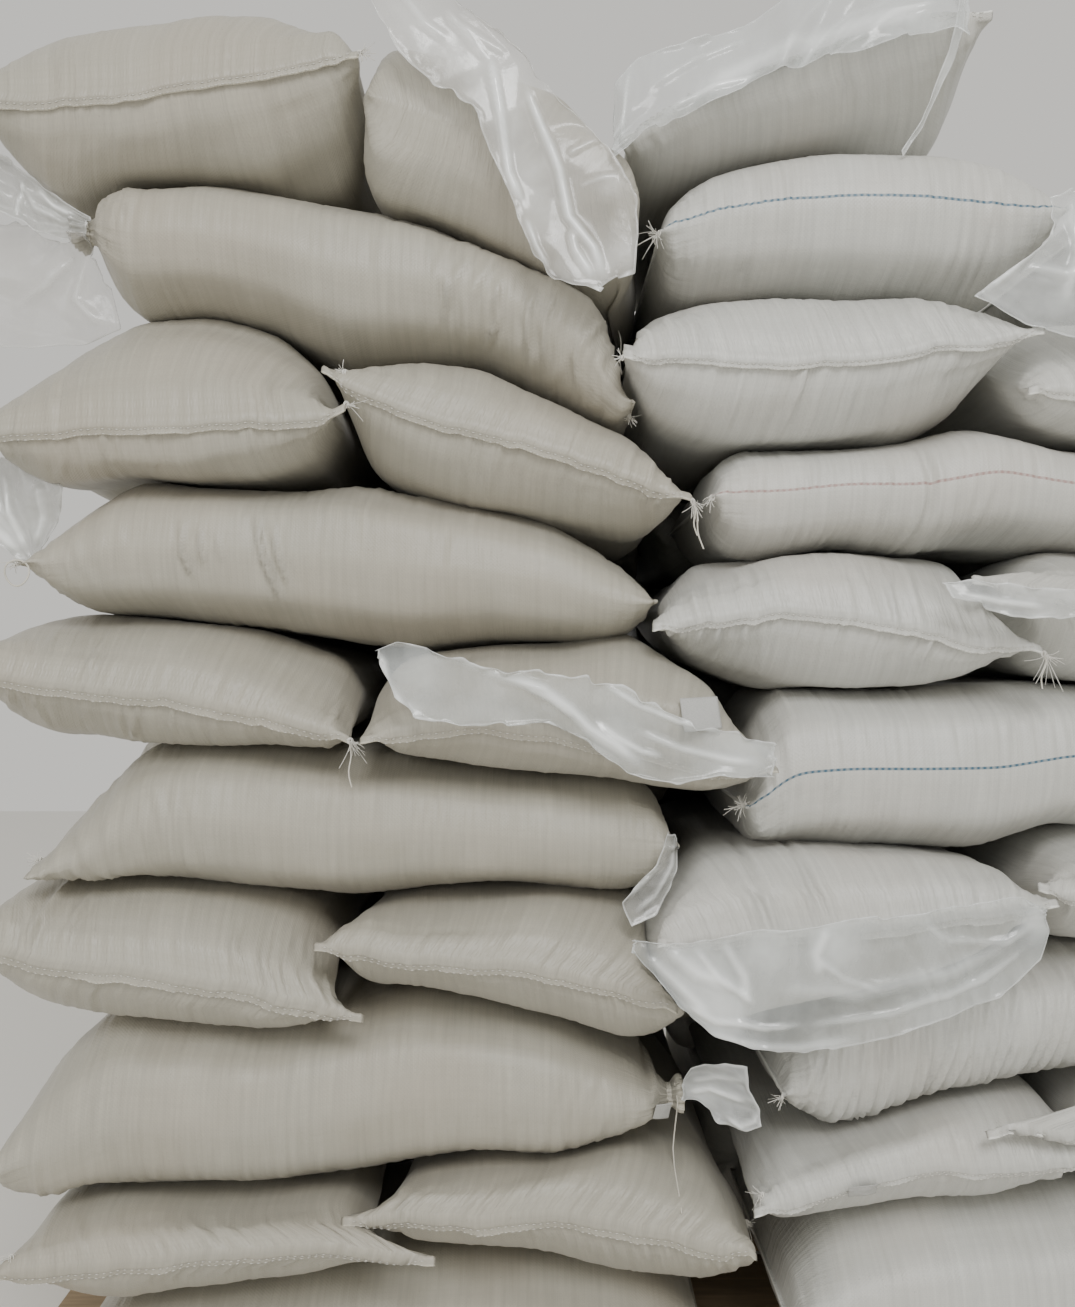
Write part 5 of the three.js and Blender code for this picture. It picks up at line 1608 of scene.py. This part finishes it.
card("tag_layer06_sack_2", [(-0.040, 1.150), (0.010, 1.152), (0.014, 1.112), (-0.036, 1.108)],
     ["layer06_sack_2"], 0.0025, 181)
card("tag_layer02_sack_3", [(0.178, 0.524), (0.216, 0.526), (0.218, 0.508), (0.180, 0.506)],
     ["layer02_sack_3"], 0.002, 182)
card("scrap_layer03_sack_1", [(-0.062, 0.606), (-0.040, 0.604), (-0.043, 0.578), (-0.066, 0.582)],
     ["layer03_sack_1", "layer02_sack_2"], 0.002, 183)


# Sewing thread along the hems

def stitched(node, lines):
    """Two rows of stitches, each stitch a thin spindle lying on the hem's outer face."""
    points = []
    faces = []
    for line in lines:
        count = int(np.linalg.norm(np.diff(line, axis=0), axis=1).sum() / STITCH_PITCH)
        spots = evenly(line, 2 * count)
        for start, end in zip(spots[:-1:2], spots[1::2]):
            way = (end - start) / np.linalg.norm(end - start)
            side = np.cross(way, (0.0, -1.0, 0.0))
            side /= np.linalg.norm(side)
            out = np.cross(side, way)
            if out[1] > 0:
                out = -out
            middle = (start + end) / 2 + out * STITCH_LIFT
            base = len(points)
            points.append(middle - way * STITCH_LENGTH / 2)
            points.append(middle + way * STITCH_LENGTH / 2)
            for turn in range(4):
                angle = turn * math.pi / 2
                points.append(middle + STITCH_HALF * (side * math.cos(angle) + out * math.sin(angle)))
            for turn in range(4):
                a = base + 2 + turn
                b = base + 2 + (turn + 1) % 4
                faces.append((base, b, a))
                faces.append((base + 1, a, b))
    mesh = bpy.data.meshes.new(node + "_stitches")
    mesh.from_pydata([tuple(p) for p in points], [], faces)
    piece = link(node + "_stitches", mesh, sewing_thread)
    volume = sum(f.center.dot(f.normal) * f.area for f in mesh.polygons)
    if volume < 0:
        mesh.flip_normals()
    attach(piece, "root")


for node, lines in stitch_lines.items():
    stitched(node, lines)


# Knots, frayed threads and twine

def tube(path, radius, sides=6, closed=False):
    """Points and faces of a round tube along a path."""
    path = np.asarray(path, float)
    count = len(path)
    ways = np.gradient(path, axis=0)
    if closed:
        ways = np.roll(path, -1, axis=0) - np.roll(path, 1, axis=0)
    ways /= np.linalg.norm(ways, axis=1, keepdims=True)
    side = np.cross(ways[0], (0.3, 0.9, 0.2))
    points = []
    for spot, way in zip(path, ways):
        side = side - way * side.dot(way)
        side /= np.linalg.norm(side)
        other = np.cross(way, side)
        for k in range(sides):
            angle = 2 * math.pi * k / sides
            points.append(spot + radius * (side * math.cos(angle) + other * math.sin(angle)))
    faces = []
    for r in range(count if closed else count - 1):
        for k in range(sides):
            a = r * sides + k
            b = r * sides + (k + 1) % sides
            c = ((r + 1) % count) * sides
            faces.append((a, b, c + (k + 1) % sides, c + k))
    if not closed:
        faces.append(tuple(range(sides))[::-1])
        faces.append(tuple(range((count - 1) * sides, count * sides)))
    return points, faces


def joined_tubes(name, tubes, material):
    """Several tubes as one piece."""
    points = []
    faces = []
    for more_points, more_faces in tubes:
        base = len(points)
        points.extend(tuple(p) for p in more_points)
        faces.extend(tuple(base + i for i in face) for face in more_faces)
    mesh = bpy.data.meshes.new(name)
    mesh.from_pydata(points, [], faces)
    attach(link(name, mesh, material), "root")


def on_skin(node, x, z):
    """The point of a sack's front nearest to a place on the face of the stack."""
    mesh = skins[node].data
    points = np.empty(3 * len(mesh.vertices))
    mesh.vertices.foreach_get("co", points)
    points = points.reshape(-1, 3)
    points = points[points[:, 1] < NEAR_FACE]
    away = np.hypot(points[:, 0] - x, points[:, 2] - z) + NEARER * (points[:, 1] - points[:, 1].min())
    return points[away.argmin()]


TUFTS = [
    ("layer10_sack_1", -0.422, 1.983, (1.0, 0.2), 12, 0.020),
    ("layer08_sack_1", -0.451, 1.537, (1.0, -0.2), 10, 0.016),
    ("layer08_sack_2", -0.470, 1.570, (-1.0, 0.3), 12, 0.016),
    ("layer08_sack_2", -0.013, 1.400, (0.6, -1.0), 12, 0.020),
    ("layer08_sack_3", -0.120, 1.585, (-1.0, -0.2), 7, 0.014),
    ("layer06_sack_1", -0.447, 1.092, (0.7, -1.0), 14, 0.020),
    ("layer06_sack_3", 0.435, 1.200, (0.6, -0.8), 10, 0.024),
    ("layer04_sack_3", 0.385, 0.890, (1.0, 0.1), 10, 0.012),
    ("layer09_sack_2", -0.068, 1.748, (-1.0, -0.3), 18, 0.022),
    ("layer09_sack_1", -0.072, 1.500, (0.5, -1.0), 12, 0.018),
    ("layer07_sack_2", 0.004, 1.400, (-0.7, -1.0), 9, 0.016),
    ("layer07_sack_1", -0.915, 1.325, (-1.0, -0.2), 10, 0.016),
    ("layer05_sack_2", 0.030, 1.020, (-1.0, -0.2), 18, 0.022),
    ("layer05_sack_1", -0.905, 0.935, (-1.0, 0.1), 10, 0.018),
    ("layer03_sack_2", 0.100, 0.610, (-0.8, -0.6), 10, 0.016),
    ("layer02_sack_2", 0.105, 0.405, (1.0, -0.5), 10, 0.014),
    ("layer02_sack_1", -0.900, 0.440, (-1.0, 0.0), 8, 0.014),
    ("layer02_sack_3", 0.060, 0.520, (-1.0, 0.0), 8, 0.014),
]


def add_tufts():
    """Frayed thread ends and small knots where hems end."""
    rng = np.random.default_rng(77)
    for number, (node, x, z, way, count, long) in enumerate(TUFTS):
        root = on_skin(node, x, z)
        tubes = []
        for _ in range(2 * count):
            spread = rng.normal(0.0, FRAY_SPREAD, 3)
            lean = np.array([way[0], -0.3, way[1]]) + spread
            lean /= np.linalg.norm(lean)
            reach = long * rng.uniform(0.3, 0.9)
            curl = rng.normal(0.0, FRAY_CURL, 3) * reach
            t = np.linspace(0.0, 1.0, 7)[:, None]
            path = root + lean * reach * t + curl * t * t - np.array([0.0, 0.0, FRAY_DROOP * reach]) * t ** 2
            tubes.append(tube(path, THREAD * rng.uniform(0.6, 1.2), 4))
        for _ in range(KNOT_LOOPS):
            turn = np.linspace(0.0, 2 * math.pi, 12)[:-1]
            size = rng.uniform(*KNOT_SIZES)
            axis = rng.uniform(0.0, math.pi)
            flat = np.cos(turn)
            ring = np.column_stack([flat * math.cos(axis), flat * math.sin(axis), np.sin(turn)])
            tubes.append(tube(root + size * ring, THREAD * 1.6, 5, closed=True))
        joined_tubes(f"tuft_{number + 1:02d}_{node}", tubes, sewing_thread)


def add_ties():
    """Twine wound round each twisted neck, and a loose loop at a sack's tip."""
    for node, ring in tie_rings.items():
        middle = ring.mean(axis=0)
        out = ring - middle
        out /= np.maximum(np.linalg.norm(out, axis=1, keepdims=True), 1e-6)
        path = []
        for turn in range(TWINE_TURNS):
            first = turn - TWINE_TURNS / 2
            shift = np.linspace(first, first + 1, len(ring), endpoint=False)[:, None]
            path.append(ring + out * TWINE * 0.8 + np.array([TWINE * 1.9, 0.0, 0.0]) * shift)
        joined_tubes("tie_" + node, [tube(np.concatenate(path), TWINE, 6)], tie_twine)
    spot = on_skin("layer07_sack_1", -0.918, 1.330)
    turn = np.linspace(0.0, 2 * math.pi, 25)[:-1]
    sway = -0.004 + 0.003 * np.sin(2 * turn)
    loop = np.column_stack([0.016 * np.cos(turn), sway, 0.017 * np.sin(turn) - 0.014])
    joined_tubes("loop_layer07_sack_1", [tube(spot + loop, TWINE, 6, closed=True)], tie_twine)


# Loose twine: the sack it hangs from, where it leaves it, how far it falls and how far it drifts sideways
TAILS = [
    ("tail_layer10_sack_2", "layer10_sack_2", -0.096, 1.690, 0.078, 0.006),
    ("tail_layer08_sack_2_long", "layer08_sack_2", -0.016, 1.398, 0.062, 0.012),
    ("tail_layer08_sack_2_short", "layer08_sack_2", -0.012, 1.396, 0.045, 0.004),
    ("tail_layer06_sack_1", "layer06_sack_1", -0.446, 1.090, 0.055, 0.002),
    ("tail_layer06_sack_3", "layer06_sack_3", 0.438, 1.200, 0.045, -0.006),
    ("tail_layer03_sack_1", "layer03_sack_1", -0.030, 0.618, 0.140, -0.002),
]


def add_tails():
    """Twine ends that hang down the face of the stack."""
    trees = list(skin_trees.values())
    for name, node, x, z, fall, drift in TAILS:
        root = on_skin(node, x, z)
        t = np.linspace(0.0, 1.0, 9)
        down = root[2] - fall * t
        side = root[0] + drift * t + TAIL_SWAY * np.sin(t * 7.0)
        behind = front_of(trees, side, down, NOTHING_BEHIND)
        stand = TAIL_STAND * np.sin(np.minimum(t * 3, 1.0) * math.pi / 2)
        depth = np.minimum(root[1] - stand, behind - TAIL_CLEAR)
        depth[0] = root[1]
        depth = np.minimum(depth, np.minimum.accumulate(depth) + TAIL_RETURN)
        points = np.column_stack([side, depth, down])
        curve = bpy.data.curves.new(name, "CURVE")
        curve.dimensions = "3D"
        curve.bevel_depth = TAIL_HALF
        curve.bevel_resolution = 2
        spline = curve.splines.new("POLY")
        spline.points.add(len(points) - 1)
        for spot, place in zip(spline.points, points):
            spot.co = (*place, 1.0)
        curve.materials.append(tie_twine)
        piece = bpy.data.objects.new(name, curve)
        bpy.context.scene.collection.objects.link(piece)
        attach(piece, "root")


add_tufts()
add_ties()
add_tails()


# The pallet: its boards keep their solids, with a timber material

for node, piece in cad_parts.items():
    if "board" in node or "stringer" in node:
        for spot in piece.material_slots:
            spot.link = "OBJECT"
            spot.material = pallet_timber


# Camera, stage and light

def add_camera():
    """The camera of the main view."""
    data = bpy.data.cameras.new("camera")
    data.lens = CAMERA_LENS
    data.sensor_width = CAMERA_SENSOR
    camera = bpy.data.objects.new("camera", data)
    camera.location = CAMERA_PLACE
    camera.rotation_euler = (math.radians(90), 0.0, 0.0)
    bpy.context.scene.collection.objects.link(camera)
    bpy.context.scene.camera = camera


def add_floor():
    """A plain pale floor."""
    material, _, shader = new_material("stage_paint", 0.8)
    shader.inputs["Base Color"].default_value = ROOM_TONE
    bpy.ops.mesh.primitive_plane_add(size=14.0, location=(0.0, 0.0, -0.001))
    plane = bpy.context.object
    plane.name = "floor"
    plane.data.materials.append(material)


def add_light():
    """A pale room and soft lamps, brightest from above the camera."""
    world = bpy.data.worlds.new("studio")
    world.use_nodes = True
    background = world.node_tree.nodes["Background"]
    background.inputs["Color"].default_value = ROOM_TONE
    background.inputs["Strength"].default_value = 0.93
    bpy.context.scene.world = world
    for name, place, size, power in (
        ("key", (0.5, -4.6, 4.3), 1.7, 150.0),
        ("fill", (-2.4, -4.8, 2.6), 2.4, 40.0),
    ):
        data = bpy.data.lights.new(name, "AREA")
        data.size = size
        data.energy = power
        lamp = bpy.data.objects.new(name, data)
        lamp.location = place
        aim = Vector(LIGHT_AIM) - Vector(place)
        lamp.rotation_euler = aim.to_track_quat("-Z", "Y").to_euler()
        bpy.context.scene.collection.objects.link(lamp)


add_camera()
add_floor()
add_light()
